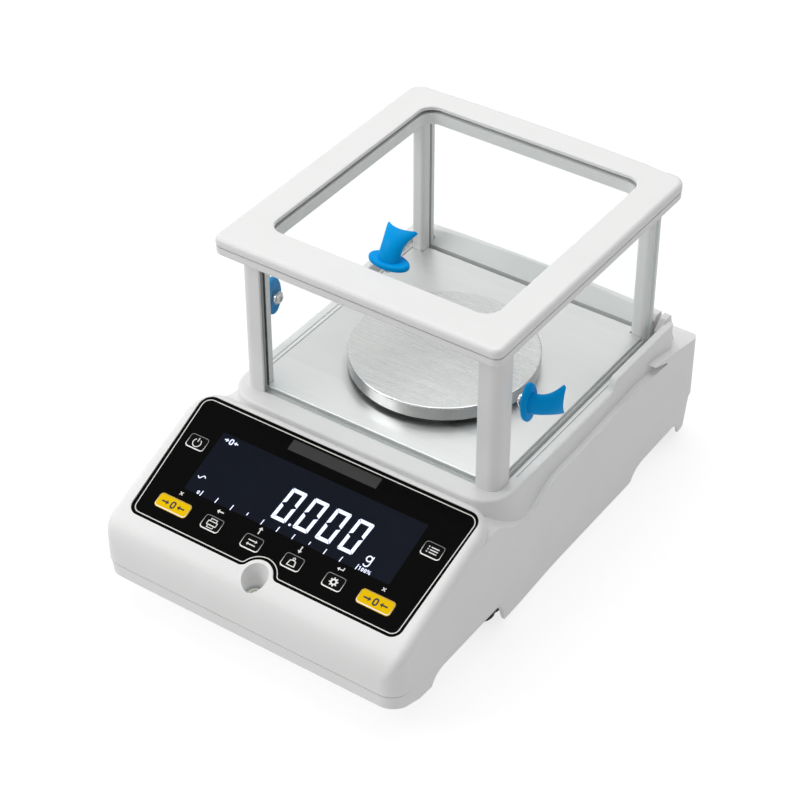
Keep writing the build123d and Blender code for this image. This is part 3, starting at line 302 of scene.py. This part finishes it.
def make_outline_print():
    """The keys' printed outlines, with painted shade at the top edge and a painted highlight at the foot, as light
    falls on an embossed film.
    """
    s = Surface("key_outline_print")
    local = s.add("ShaderNodeTexCoord").outputs["Generated"]
    height = s.part_of("Y", local)
    # painted shade and highlight: the printed outline is dark at its top edge and bright at its foot
    painted_relief_shade = s.spread(height, 1, 0, 0.12, 0.72)
    speckle = s.noise(1600.0, 2.0)
    bright = s.mix(speckle, (0.86, 0.85, 0.82), (0.95, 0.94, 0.91))
    s.set(Base_Color=s.mix(painted_relief_shade, (0.20, 0.20, 0.20), bright), Roughness=s.spread(speckle, 0.4, 0.5))
    s.set(Normal=s.bump(speckle, 0.1, 0.00001))
    return s.material


def make_display_window():
    """Dark tinted window: navy where the liquid crystal lies behind it."""
    s = Surface("display_tint")
    tone = s.noise(40.0, 3.0)
    cells = s.add("ShaderNodeTexVoronoi", Vector=s.place, Scale=2600.0)
    s.set(Base_Color=s.mix(tone, (0.0058, 0.0076, 0.0145), (0.0076, 0.0100, 0.0180)))
    s.set(Roughness=s.spread(cells.outputs["Distance"], 0.26, 0.34, 0, 1), Specular_IOR_Level=0.03)
    s.set(Normal=s.bump(cells.outputs["Distance"], 0.05, 0.00001))
    return s.material


WHITE = (0.80, 0.80, 0.795)
white_case = moulded("white_moulding", WHITE, 0.42, grain=1700, strength=0.2, soft=0.0005)
white_frame = moulded("white_frame", shade(WHITE, 0.95), 0.36, grain=900, strength=0.08, depth=0.00002,
                      soft=0.0005)
film_black = moulded("keypad_film", (0.0025, 0.0025, 0.0026), 0.42, grain=3800, strength=0.12, depth=0.00001,
                     mottle=0.06, Specular_IOR_Level=0.02)
key_black = moulded("key_film", (0.0035, 0.0035, 0.0037), 0.38, grain=3400, strength=0.12, depth=0.00001,
                    mottle=0.06, Specular_IOR_Level=0.03)
key_yellow = moulded("key_film_yellow", (0.82, 0.52, 0.0), 0.45, grain=3000, strength=0.12, depth=0.00001,
                     Specular_IOR_Level=0.03)
window_navy = make_display_window()
pane_side = make_pane_glass("float_glass_side", "X")
pane_end = make_pane_glass("float_glass_end", "Y")
pane_top = make_pane_glass("float_glass_top", "Z")
plate_steel = brushed("plate_steel", (0.88, 0.88, 0.875), 0.36, (22, 2200, 22), contrast=0.035)
pan_steel = make_pan_steel()
support_cast = turned("cast_aluminium", (0.62, 0.63, 0.64), 0.42)
cell_metal = brushed("machined_aluminium", (0.70, 0.71, 0.72), 0.3, (30, 30, 1500), 0.3, (0, 1, 0))
bright_steel = turned("zinc_plate", (0.74, 0.75, 0.75), 0.22)
level_metal = turned("turned_aluminium", (0.66, 0.67, 0.68), 0.3)
bezel_steel = brushed("tinned_bezel", (0.6, 0.61, 0.62), 0.35, (40, 900, 40))
connector_steel = brushed("connector_shell", (0.58, 0.58, 0.58), 0.3, (900, 40, 40))
knob_blue = moulded("knob_moulding", (0.0, 0.30, 0.72), 0.32, grain=700, strength=0.05, depth=0.00003,
                    mottle=0.05, Specular_IOR_Level=0.05)
seal_rubber = moulded("seal_rubber", (0.014, 0.014, 0.014), 0.62, grain=2400, strength=0.3)
pad_rubber = moulded("pad_rubber", (0.02, 0.02, 0.021), 0.7, grain=1400, strength=0.4, depth=0.00006)
wheel_plastic = moulded("wheel_moulding", (0.035, 0.035, 0.038), 0.45, grain=1500, strength=0.25)
connector_black = moulded("connector_moulding", (0.016, 0.016, 0.017), 0.5, grain=1800)
ribbon = make_ribbon()
vial = make_vial()
main_board_green = make_board("main_board_mask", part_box("main_board")[0].z + 0.00162)
display_board_green = make_board("display_board_mask", 1.0)

ink_light = make_print("ink_light", (0.80, 0.79, 0.76))
ink_line = make_print("ink_line", (0.72, 0.71, 0.67))
ink_black = make_print("ink_black", (0.010, 0.010, 0.010))
ink_strip = make_print("ink_strip", (0.014, 0.0135, 0.013), rough=0.6)
segment_lit = make_print("segment_lit", (0.72, 0.78, 1.0), glow=0.55, rough=0.3)
outline_print_and_painted_shade = make_outline_print()

materials = {
    "case_white": white_case,
    "overlay_black": film_black,
    "display_window": window_navy,
    "lcd_bezel": bezel_steel,
    "circuit_board": display_board_green,
    "cable_grey": ribbon,
    "level_metal": level_metal,
    "level_fluid": vial,
    "stainless": plate_steel,
    "cast_aluminium": support_cast,
    "cell_aluminium": cell_metal,
    "steel_bright": bright_steel,
    "connector_black": connector_black,
    "connector_steel": connector_steel,
    "seal_black": seal_rubber,
    "knob_blue": knob_blue,
    "key_black": key_black,
    "key_yellow": key_yellow,
    "wheel_dark": wheel_plastic,
    "pad_rubber": pad_rubber,
}
special = {
    "weighing_pan": pan_steel,
    "main_board": main_board_green,
    "front_glass": pane_end,
    "rear_glass": pane_end,
    "door_left": pane_side,
    "door_right": pane_side,
    "door_top": pane_top,
}
for node in ("shield_top_cover", "shield_rail_frame", "post_front_left", "post_front_right",
             "post_rear_left", "post_rear_right"):
    special[node] = white_frame

slots = {row["node"]: row["material_slot"] for row in frame["record"]["subparts"]}
for name, thing in frame["nodes"].items():
    finish = special.get(name) or materials[slots[name]]
    if not thing.material_slots:
        thing.data.materials.append(finish)
    for slot in thing.material_slots:
        slot.material = finish


# ---- outlines in a flat plane, in millimetres ------------------------------------------
def arc(centre, radius, start, end, steps=12):
    """Points of an arc between two angles in degrees."""
    angles = [radians(start + (end - start) * step / steps) for step in range(steps + 1)]
    return [(centre[0] + radius * cos(a), centre[1] + radius * sin(a)) for a in angles]


def ring_points(centre, radius, steps=32):
    return arc(centre, radius, 0, 360, steps)[:-1]


def rounded_rectangle(centre, width, height, radius, steps=6):
    points = []
    for start, sx, sy in ((0, 1, 1), (90, -1, 1), (180, -1, -1), (270, 1, -1)):
        corner = (centre[0] + sx * (width / 2 - radius), centre[1] + sy * (height / 2 - radius))
        points += arc(corner, radius, start, start + 90, steps)
    return points


def moved(points, du, dv, scale=1.0):
    return [(u * scale + du, v * scale + dv) for u, v in points]


def stroke(points, width):
    """The outline of an open line of this width."""
    left, right = [], []
    for i, (u, v) in enumerate(points):
        before = Vector(points[max(i - 1, 0)])
        after = Vector(points[min(i + 1, len(points) - 1)])
        here = Vector((u, v))
        inward = (here - before).normalized() if i else (after - here).normalized()
        outward = (after - here).normalized() if i < len(points) - 1 else inward
        along = (inward + outward).normalized()
        reach = width / 2 / max(0.5, along.dot(inward))
        side = Vector((-along.y, along.x)) * reach
        left.append(tuple(here + side))
        right.append(tuple(here - side))
    return left + right[::-1]


def loop(outer, inner):
    """A closed band between two outlines with the same number of points."""
    return (outer, inner)


def band(centre, radius, width, steps=32):
    outer = ring_points(centre, radius + width / 2, steps)
    return loop(outer, ring_points(centre, radius - width / 2, steps))


def arrow(turn=0, length=3.7, width=0.75, head=1.25):
    """An arrow that points along turn degrees, centred on the origin."""
    tip, shaft_end, barb = length / 2, length / 2 - head * 0.9, length / 2 - head * 1.15
    shapes = [
        [(-tip, -width / 2), (shaft_end, -width / 2), (shaft_end, width / 2), (-tip, width / 2)],
        [(tip, 0), (barb, head), (barb, -head)],
    ]
    c, s = cos(radians(turn)), sin(radians(turn))
    return [[(u * c - v * s, u * s + v * c) for u, v in shape] for shape in shapes]


def shift_all(shapes, du, dv, scale=1.0):
    made = []
    for shape in shapes:
        if isinstance(shape, tuple):
            made.append((moved(shape[0], du, dv, scale), moved(shape[1], du, dv, scale)))
        else:
            made.append(moved(shape, du, dv, scale))
    return made


# ---- the panel's own plane, from the CAD -----------------------------------------------
press = next(j for j in frame["joints"] if j["name"] == "key_power_press")
normal = -Vector(press["axis"]).normalized()
slope = Vector((0, normal.z, -normal.y))
across = Vector((1, 0, 0))
film_low, film_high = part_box("keypad_overlay")
FILM_T = 0.8 * MM
foot_edge = Vector((0, film_low.y, film_low.z + FILM_T * normal.z))
head_edge = Vector((0, film_high.y + FILM_T * normal.y, film_high.z))
panel_centre = (foot_edge + head_edge) / 2
PANEL_HALF_LENGTH = (head_edge - foot_edge).length / 2 / MM


def on_panel(u, v, lift=0.0):
    return panel_centre + (across * u + slope * v + normal * lift) * MM


def on_level(centre):
    """A level plane through centre."""
    def place(u, v, lift=0.0):
        return centre + Vector((u, v, lift)) * MM
    return place


def printed(name, shapes, material, body, place=on_panel, low=-0.02, high=0.03):
    """A thin printed or inlaid mark made of flat shapes between two heights above a plane."""
    mesh = bmesh.new()
    for shape in shapes:
        if isinstance(shape, tuple):
            outer, inner = shape
            count = len(outer)
            rings = [[mesh.verts.new(place(u, v, h)) for u, v in points]
                     for h in (low, high) for points in (outer, inner)]
            out_low, in_low, out_high, in_high = rings
            for i in range(count):
                j = (i + 1) % count
                mesh.faces.new((out_high[i], out_high[j], in_high[j], in_high[i]))
                mesh.faces.new((out_low[j], out_low[i], in_low[i], in_low[j]))
                mesh.faces.new((out_low[i], out_low[j], out_high[j], out_high[i]))
                mesh.faces.new((in_low[j], in_low[i], in_high[i], in_high[j]))
        else:
            count = len(shape)
            bottom = [mesh.verts.new(place(u, v, low)) for u, v in shape]
            top = [mesh.verts.new(place(u, v, high)) for u, v in shape]
            mesh.faces.new(top)
            mesh.faces.new(bottom[::-1])
            for i in range(count):
                j = (i + 1) % count
                mesh.faces.new((bottom[i], bottom[j], top[j], top[i]))
    bmesh.ops.recalc_face_normals(mesh, faces=mesh.faces)
    data = bpy.data.meshes.new(name)
    mesh.to_mesh(data)
    mesh.free()
    data.materials.append(material)
    piece = bpy.data.objects.new(name, data)
    scene.collection.objects.link(piece)
    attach(piece, body)
    return piece


# ---- the light line round the keypad ---------------------------------------------------
TOP_HALF, FOOT_HALF = 100.5, 97.0
TOP_CORNER_R, FOOT_CORNER_R = 8.0, 7.0
BAY_V, BAY_R, BAY_BLEND_R = -46.5, 10.5, 5.0


def panel_line_points(inset):
    """The keypad's outline drawn in by inset, anticlockwise from the foot's left corner."""
    top_v, foot_v = PANEL_HALF_LENGTH - inset, -PANEL_HALF_LENGTH + inset
    lean = atan2(TOP_HALF - FOOT_HALF, 2 * PANEL_HALF_LENGTH)
    foot_half, top_half = FOOT_HALF - inset, TOP_HALF - inset
    foot_r, top_r = FOOT_CORNER_R - inset, TOP_CORNER_R - inset
    bay_r, blend_r = BAY_R + inset, max(BAY_BLEND_R - inset, 0.6)
    rise = foot_v + blend_r - BAY_V
    reach = sqrt((bay_r + blend_r) ** 2 - rise ** 2)
    turn = atan2(rise, reach) * 180 / pi
    tilt = lean * 180 / pi
    right = []
    right += arc((reach, foot_v + blend_r), blend_r, 180 + turn, 270, 10)
    right += arc((foot_half - foot_r, foot_v + foot_r), foot_r, 270, 360 - tilt, 10)
    right += arc((top_half - top_r, top_v - top_r), top_r, -tilt, 90, 12)
    left = [(-u, v) for u, v in right[::-1]]
    bay = arc((0, BAY_V), bay_r, 180 - turn, turn, 24)[1:-1]
    return right + left + bay


LINE_IN, LINE_W = 2.0, 0.62
printed("panel_outline", [loop(panel_line_points(LINE_IN), panel_line_points(LINE_IN + LINE_W))],
        ink_line, "balance")
STRIP_PLACE, STRIP_W, STRIP_H, STRIP_R = (0.6, 36.8), 63.8, 7.4, 0.3
strip = rounded_rectangle(STRIP_PLACE, STRIP_W, STRIP_H, STRIP_R)
printed("panel_strip", [strip], ink_strip, "balance")


# ---- what the display shows ------------------------------------------------------------
DIGIT_W, DIGIT_H, BAR, GAP, SLANT = 10.6, 22.6, 2.35, 0.14, 0.085
DIGIT_PITCH = 15.9
DIGIT_U, DIGIT_V = -14.7, -10.1


def zero_digit(u, v):
    """A seven-segment zero: six mitred bars, leaning a little."""
    w, h, t, g, c = DIGIT_W, DIGIT_H, BAR, GAP, 0.75
    m = h / 2
    top = [(c + g, h), (w - c - g, h), (w - 0.3 * c - g, h - 0.3 * c), (w - t - g, h - t), (t + g, h - t),
           (0.3 * c + g, h - 0.3 * c)]
    upper_left = [
        (0, h - c - g), (0.3 * c - 0.1, h - 0.3 * c - 2 * g), (t, h - t - g), (t, m + t * 0.62), (0, m + g)
    ]
    lower_left = [(x, h - y) for x, y in upper_left]
    bottom = [(x, h - y) for x, y in top]
    upper_right = [(w - x, y) for x, y in upper_left]
    lower_right = [(w - x, y) for x, y in lower_left]
    bars = [top, upper_left, lower_left, bottom, upper_right, lower_right]
    return [[(u + x + SLANT * y, v + y) for x, y in bar] for bar in bars]


def small_zero(u, v, height=2.4, width=1.5, line=0.5):
    outer = rounded_rectangle((u, v), width, height, width * 0.45, 5)
    inner = rounded_rectangle((u, v), width - 2 * line, height - 2 * line, (width - 2 * line) * 0.45, 5)
    return [loop(outer, inner)]


def tick(u, v, length, width=0.62):
    lean = SLANT * length / 2
    return [[(u - width / 2 - lean, v - length / 2), (u + width / 2 - lean, v - length / 2),
             (u + width / 2 + lean, v + length / 2), (u - width / 2 + lean, v + length / 2)]]


def zero_icon(size=1.0, line=0.55, gap=1.0, tail=2.1):
    """An arrow from each side pointing at a zero."""
    inside = rounded_rectangle((0, 0), 2.0 - 2 * line, 2.9 - 2 * line, 0.4, 6)
    zero = [loop(rounded_rectangle((0, 0), 2.0, 2.9, 0.95, 6), inside)]
    reach = 1.0 + gap * 0.4 + tail / 2
    left = shift_all(arrow(0, tail, line, 0.95), -reach, 0)
    right = shift_all(arrow(180, tail, line, 0.95), reach, 0)
    return shift_all(zero + left + right, 0, 0, size)


lit = []
for place_number in range(4):
    lit += zero_digit(DIGIT_U + DIGIT_PITCH * place_number, DIGIT_V)
POINT_PLACE, POINT_R = (-0.9, -9.4), 0.85
lit.append(ring_points(POINT_PLACE, POINT_R, 16))
lit += shift_all(zero_icon(1.4), -65.6, 22.4)
wave = [(x, 1.15 * sin(x / 2.6 * pi)) for x in [(-2.6 + 5.2 * i / 20) for i in range(21)]]
lit.append(moved(stroke(wave, 0.6), -68.3, -5.6))
TICK_V, TICK_PITCH, TICK_ZERO_U = -15.0, 11.26, -61.9
for number in range(11):
    short = number in (3, 7)
    lit += tick(TICK_ZERO_U + TICK_PITCH * number, TICK_V + (0.6 if short else 0.0), 2.0 if short else 3.6)
lit += small_zero(TICK_ZERO_U - 2.3, TICK_V - 0.2)
hundred_u = TICK_ZERO_U + TICK_PITCH * 10
one = [(hundred_u + 1.3, TICK_V + 0.55), (hundred_u + 1.95, TICK_V + 1.05), (hundred_u + 1.95, TICK_V - 1.4)]
lit.append(stroke(one, 0.5))
lit += small_zero(hundred_u + 3.85, TICK_V - 0.2) + small_zero(hundred_u + 5.85, TICK_V - 0.2)
lit.append(stroke([(hundred_u + 7.3, TICK_V - 1.3), (hundred_u + 9.2, TICK_V + 0.95)], 0.4))
for du, dv in ((7.5, 0.55), (9.0, -0.9)):
    lit.append(band((hundred_u + du, TICK_V + dv), 0.45, 0.35, 12))
bowl_u, bowl_v = 54.6, -7.6
lit.append(band((bowl_u, bowl_v), 1.75, 0.8, 28))
stem = [(bowl_u + 2.05, bowl_v + 2.2), (bowl_u + 1.9, bowl_v - 3.0)]
tail = arc((bowl_u - 0.05, bowl_v - 3.1), 1.95, 0, -150, 12)
lit.append(stroke(stem[:1] + tail, 0.8))
printed("display_segments", lit, segment_lit, "balance")


# ---- printed icons on and beside the keys ----------------------------------------------
KEYS = {
    "key_power": (-85.0, 13.0, 14.0, 10.2),
    "key_mode": (85.0, 13.0, 14.0, 10.2),
    "key_zero_left": (-73.0, -29.4, 23.5, 9.8),
    "key_print": (-43.875, -29.4, 14.0, 10.2),
    "key_unit": (-14.625, -29.4, 14.0, 10.2),
    "key_calibrate": (14.625, -29.4, 14.0, 10.2),
    "key_setup": (43.875, -29.4, 14.0, 10.2),
    "key_zero_right": (73.0, -29.4, 23.5, 9.8),
}
KEY_TOP = 0.2
KEY_R = 2.4
OUTLINE_IN = 0.35


def power_icon():
    return [stroke(arc((0, -0.3), 2.75, 125, 415, 30), 0.6), stroke([(0, 0.4), (0, 3.3)], 0.6)]


def list_icon():
    shapes = []
    for row in (-1.7, 0.0, 1.7):
        shapes.append(ring_points((-3.1, row), 0.48, 12))
        shapes.append(stroke([(-1.7, row), (3.6, row)], 0.7))
    return shapes


def printer_icon():
    body_out = rounded_rectangle((0, 0), 7.0, 3.2, 0.5, 4)
    body_in = rounded_rectangle((0, 0), 5.9, 2.1, 0.2, 4)
    feed = stroke([(-2.1, 1.7), (-2.1, 3.0), (2.1, 3.0), (2.1, 1.7)], 0.5)
    sheet_in = rounded_rectangle((0, -2.0), 3.6, 1.4, 0.1, 2)
    sheet = loop(rounded_rectangle((0, -2.0), 4.6, 2.4, 0.15, 2), sheet_in)
    return [loop(body_out, body_in), feed, sheet]


def swap_icon():
    return shift_all(arrow(0, 6.4, 0.65, 1.1), 0, 1.3) + shift_all(arrow(180, 6.4, 0.65, 1.1), 0, -1.3)


def weight_icon():
    base = [(-2.9, -2.7), (2.9, -2.7), (2.2, 1.0), (0.9, 1.5), (-0.9, 1.5), (-2.2, 1.0)]
    inner = [(u * 0.72, (v + 0.6) * 0.70 - 0.6) for u, v in base]
    return [loop(base, inner), band((0, 2.2), 0.75, 0.5, 16)]


def gear_icon():
    teeth, outer = 8, []
    for tooth in range(teeth):
        for angle, radius in ((0.00, 2.2), (0.14, 3.0), (0.42, 3.0), (0.56, 2.2)):
            turn = (tooth + angle) / teeth * 2 * pi
            outer.append((radius * cos(turn), radius * sin(turn)))
    inner = [(1.05 * cos(atan2(v, u)), 1.05 * sin(atan2(v, u))) for u, v in outer]
    return [loop(outer, inner)]


def return_icon():
    return [stroke([(2.0, 1.5), (2.0, -0.3), (-0.6, -0.3)], 0.65), [(-2.3, -0.3), (-0.6, 0.9), (-0.6, -1.5)]]


def cross_icon():
    return [stroke([(-1.05, -1.05), (1.05, 1.05)], 0.55), stroke([(-1.05, 1.05), (1.05, -1.05)], 0.55)]


icons = {
    "key_power": power_icon(),
    "key_mode": list_icon(),
    "key_zero_left": zero_icon(1.75, 0.60, 1.8, 3.0),
    "key_print": printer_icon(),
    "key_unit": swap_icon(),
    "key_calibrate": weight_icon(),
    "key_setup": gear_icon(),
    "key_zero_right": zero_icon(1.75, 0.60, 1.8, 3.0),
}
for name, (u, v, width, height) in KEYS.items():
    yellow = "zero" in name
    out_w, out_h = width - 2 * OUTLINE_IN, height - 2 * OUTLINE_IN
    outer = rounded_rectangle((u, v), out_w, out_h, KEY_R - OUTLINE_IN)
    thin, foot = (0.28, 0.62) if yellow else (0.42, 0.75)
    middle = (u, v + (foot - thin) / 2)
    inner = rounded_rectangle(middle, out_w - 2 * thin, out_h - thin - foot, KEY_R - 0.75)
    low, high = KEY_TOP - 0.02, KEY_TOP + 0.02
    body = name + "_cap"
    printed(name + "_outline", [loop(outer, inner)], outline_print_and_painted_shade, body, low=low, high=high)
    ink = ink_black if yellow else ink_light
    printed(name + "_icon", shift_all(icons[name], u, v, 1.0), ink, body, low=low, high=high)

HINT_V, HINT_LENGTH, HINT_WIDTH, HINT_HEAD = -20.4, 4.8, 0.8, 1.5
hints = []
for turn, u in ((180, -43.9), (90, -14.7), (270, 14.5)):
    hints += shift_all(arrow(turn, HINT_LENGTH, HINT_WIDTH, HINT_HEAD), u, HINT_V)
hints += shift_all(return_icon(), 42.9, HINT_V)
for u in (-73.0, 73.0):
    hints += shift_all(cross_icon(), u, HINT_V)
printed("panel_hints", hints, ink_light, "balance")


# ---- spirit level ----------------------------------------------------------------------
vial_low, vial_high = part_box("level_vial")
vial_top = Vector(((vial_low.x + vial_high.x) / 2, (vial_low.y + vial_high.y) / 2, vial_high.z))
CIRCLE_R, CIRCLE_W, BUBBLE_R = 2.35, 0.35, 1.9
printed("level_circle", [band((0, 0), CIRCLE_R, CIRCLE_W, 40)], ink_black, "balance",
        place=on_level(vial_top), low=-0.02, high=0.02)


def make_bubble():
    """The bubble: a shallow lens of air under the vial's top, coloured paler than the fluid as a painted
    highlight.
    """
    mesh = bmesh.new()
    bmesh.ops.create_uvsphere(mesh, u_segments=40, v_segments=20, radius=BUBBLE_R * MM)
    for vertex in mesh.verts:
        vertex.co.z *= 0.18
        vertex.co += vial_top + Vector((0.15, 0.1, 0.05)) * MM
    data = bpy.data.meshes.new("level_bubble")
    mesh.to_mesh(data)
    mesh.free()
    for face in data.polygons:
        face.use_smooth = True
    s = Surface("bubble_air_painted_highlight")
    # painted highlight: the air lens is coloured paler than the fluid around it
    s.set(Base_Color=s.mix(s.noise(900.0), (0.74, 0.78, 0.72), (0.86, 0.9, 0.84)), Roughness=0.04)
    s.set(Coat_Weight=1.0, Normal=s.bump(s.noise(500.0), 0.02, 0.00005))
    data.materials.append(s.material)
    piece = bpy.data.objects.new("level_bubble", data)
    scene.collection.objects.link(piece)
    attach(piece, "balance")


make_bubble()


# ---- stage, light and camera -----------------------------------------------------------
def make_floor():
    mesh = bmesh.new()
    bmesh.ops.create_grid(mesh, x_segments=2, y_segments=2, size=8.0)
    data = bpy.data.meshes.new("studio_floor")
    mesh.to_mesh(data)
    mesh.free()
    s = Surface("studio_floor")
    pale = s.mix(s.noise(3.0), (0.30, 0.30, 0.30), (0.32, 0.32, 0.32))
    s.set(Base_Color=pale, Roughness=0.9, Specular_IOR_Level=0.0)
    seen = s.nodes.new("ShaderNodeLightPath").outputs["Is Camera Ray"]
    s.set(Emission_Color=(1.0, 1.0, 1.0), Emission_Strength=s.spread(seen, 0.46, 0.76))
    data.materials.append(s.material)
    floor = bpy.data.objects.new("studio_floor", data)
    floor.location.z = -0.0003
    scene.collection.objects.link(floor)


def make_world():
    """A white room that is darker low down and on the right, so that metal has something to mirror."""
    world = bpy.data.worlds.new("studio")
    scene.world = world
    world.use_nodes = True
    nodes, links = world.node_tree.nodes, world.node_tree.links
    for node in list(nodes):
        nodes.remove(node)
    out = nodes.new("ShaderNodeOutputWorld")
    seen = nodes.new("ShaderNodeBackground")
    seen.inputs["Color"].default_value = (1, 1, 1, 1)
    seen.inputs["Strength"].default_value = 1.0
    lit_room = nodes.new("ShaderNodeBackground")
    lit_room.inputs["Strength"].default_value = 0.76
    place = nodes.new("ShaderNodeTexCoord")
    ramp = nodes.new("ShaderNodeValToRGB")
    ramp.color_ramp.elements[0].position = 0.0
    ramp.color_ramp.elements[0].color = (0.33, 0.33, 0.335, 1)
    ramp.color_ramp.elements[1].position = 0.9
    ramp.color_ramp.elements[1].color = (1, 1, 1, 1)
    lean = nodes.new("ShaderNodeVectorMath")
    lean.operation = "DOT_PRODUCT"
    lean.inputs[1].default_value = (-0.3, 0.2, 0.45)
    links.new(place.outputs["Generated"], lean.inputs[0])
    raised = nodes.new("ShaderNodeMath")
    raised.operation = "ADD"
    raised.inputs[1].default_value = 0.35
    links.new(lean.outputs["Value"], raised.inputs[0])
    links.new(raised.outputs["Value"], ramp.inputs["Fac"])
    links.new(ramp.outputs["Color"], lit_room.inputs["Color"])
    path = nodes.new("ShaderNodeLightPath")
    choose = nodes.new("ShaderNodeMixShader")
    links.new(path.outputs["Is Camera Ray"], choose.inputs["Fac"])
    links.new(lit_room.outputs["Background"], choose.inputs[1])
    links.new(seen.outputs["Background"], choose.inputs[2])
    links.new(choose.outputs["Shader"], out.inputs["Surface"])


def area_light(name, where, size, power, aim=(0, 0, 0.1)):
    data = bpy.data.lights.new(name, "AREA")
    data.shape = "RECTANGLE"
    data.size, data.size_y = size
    data.energy = power
    light = bpy.data.objects.new(name, data)
    light.location = where
    light.rotation_mode = "QUATERNION"
    light.rotation_quaternion = (Vector(aim) - Vector(where)).to_track_quat("-Z", "Y")
    scene.collection.objects.link(light)


make_floor()
make_world()
area_light("key_softbox", (-1.6, -1.4, 1.5), (1.4, 1.2), 19)
area_light("top_softbox", (-0.3, 0.4, 1.8), (1.4, 1.4), 13)

azimuth, elevation = radians(34.535), radians(38.524)
back = Vector((sin(azimuth) * cos(elevation), -cos(azimuth) * cos(elevation), sin(elevation)))
camera_data = bpy.data.cameras.new("camera")
camera_data.sensor_width = 36.0
camera_data.lens = 104.22
camera_data.clip_end = 50.0
camera = bpy.data.objects.new("camera", camera_data)
camera.location = (0.621955, -0.919365, 0.970138)
camera.rotation_mode = "QUATERNION"
camera.rotation_quaternion = (-back).to_track_quat("-Z", "Y")
scene.collection.objects.link(camera)
scene.camera = camera
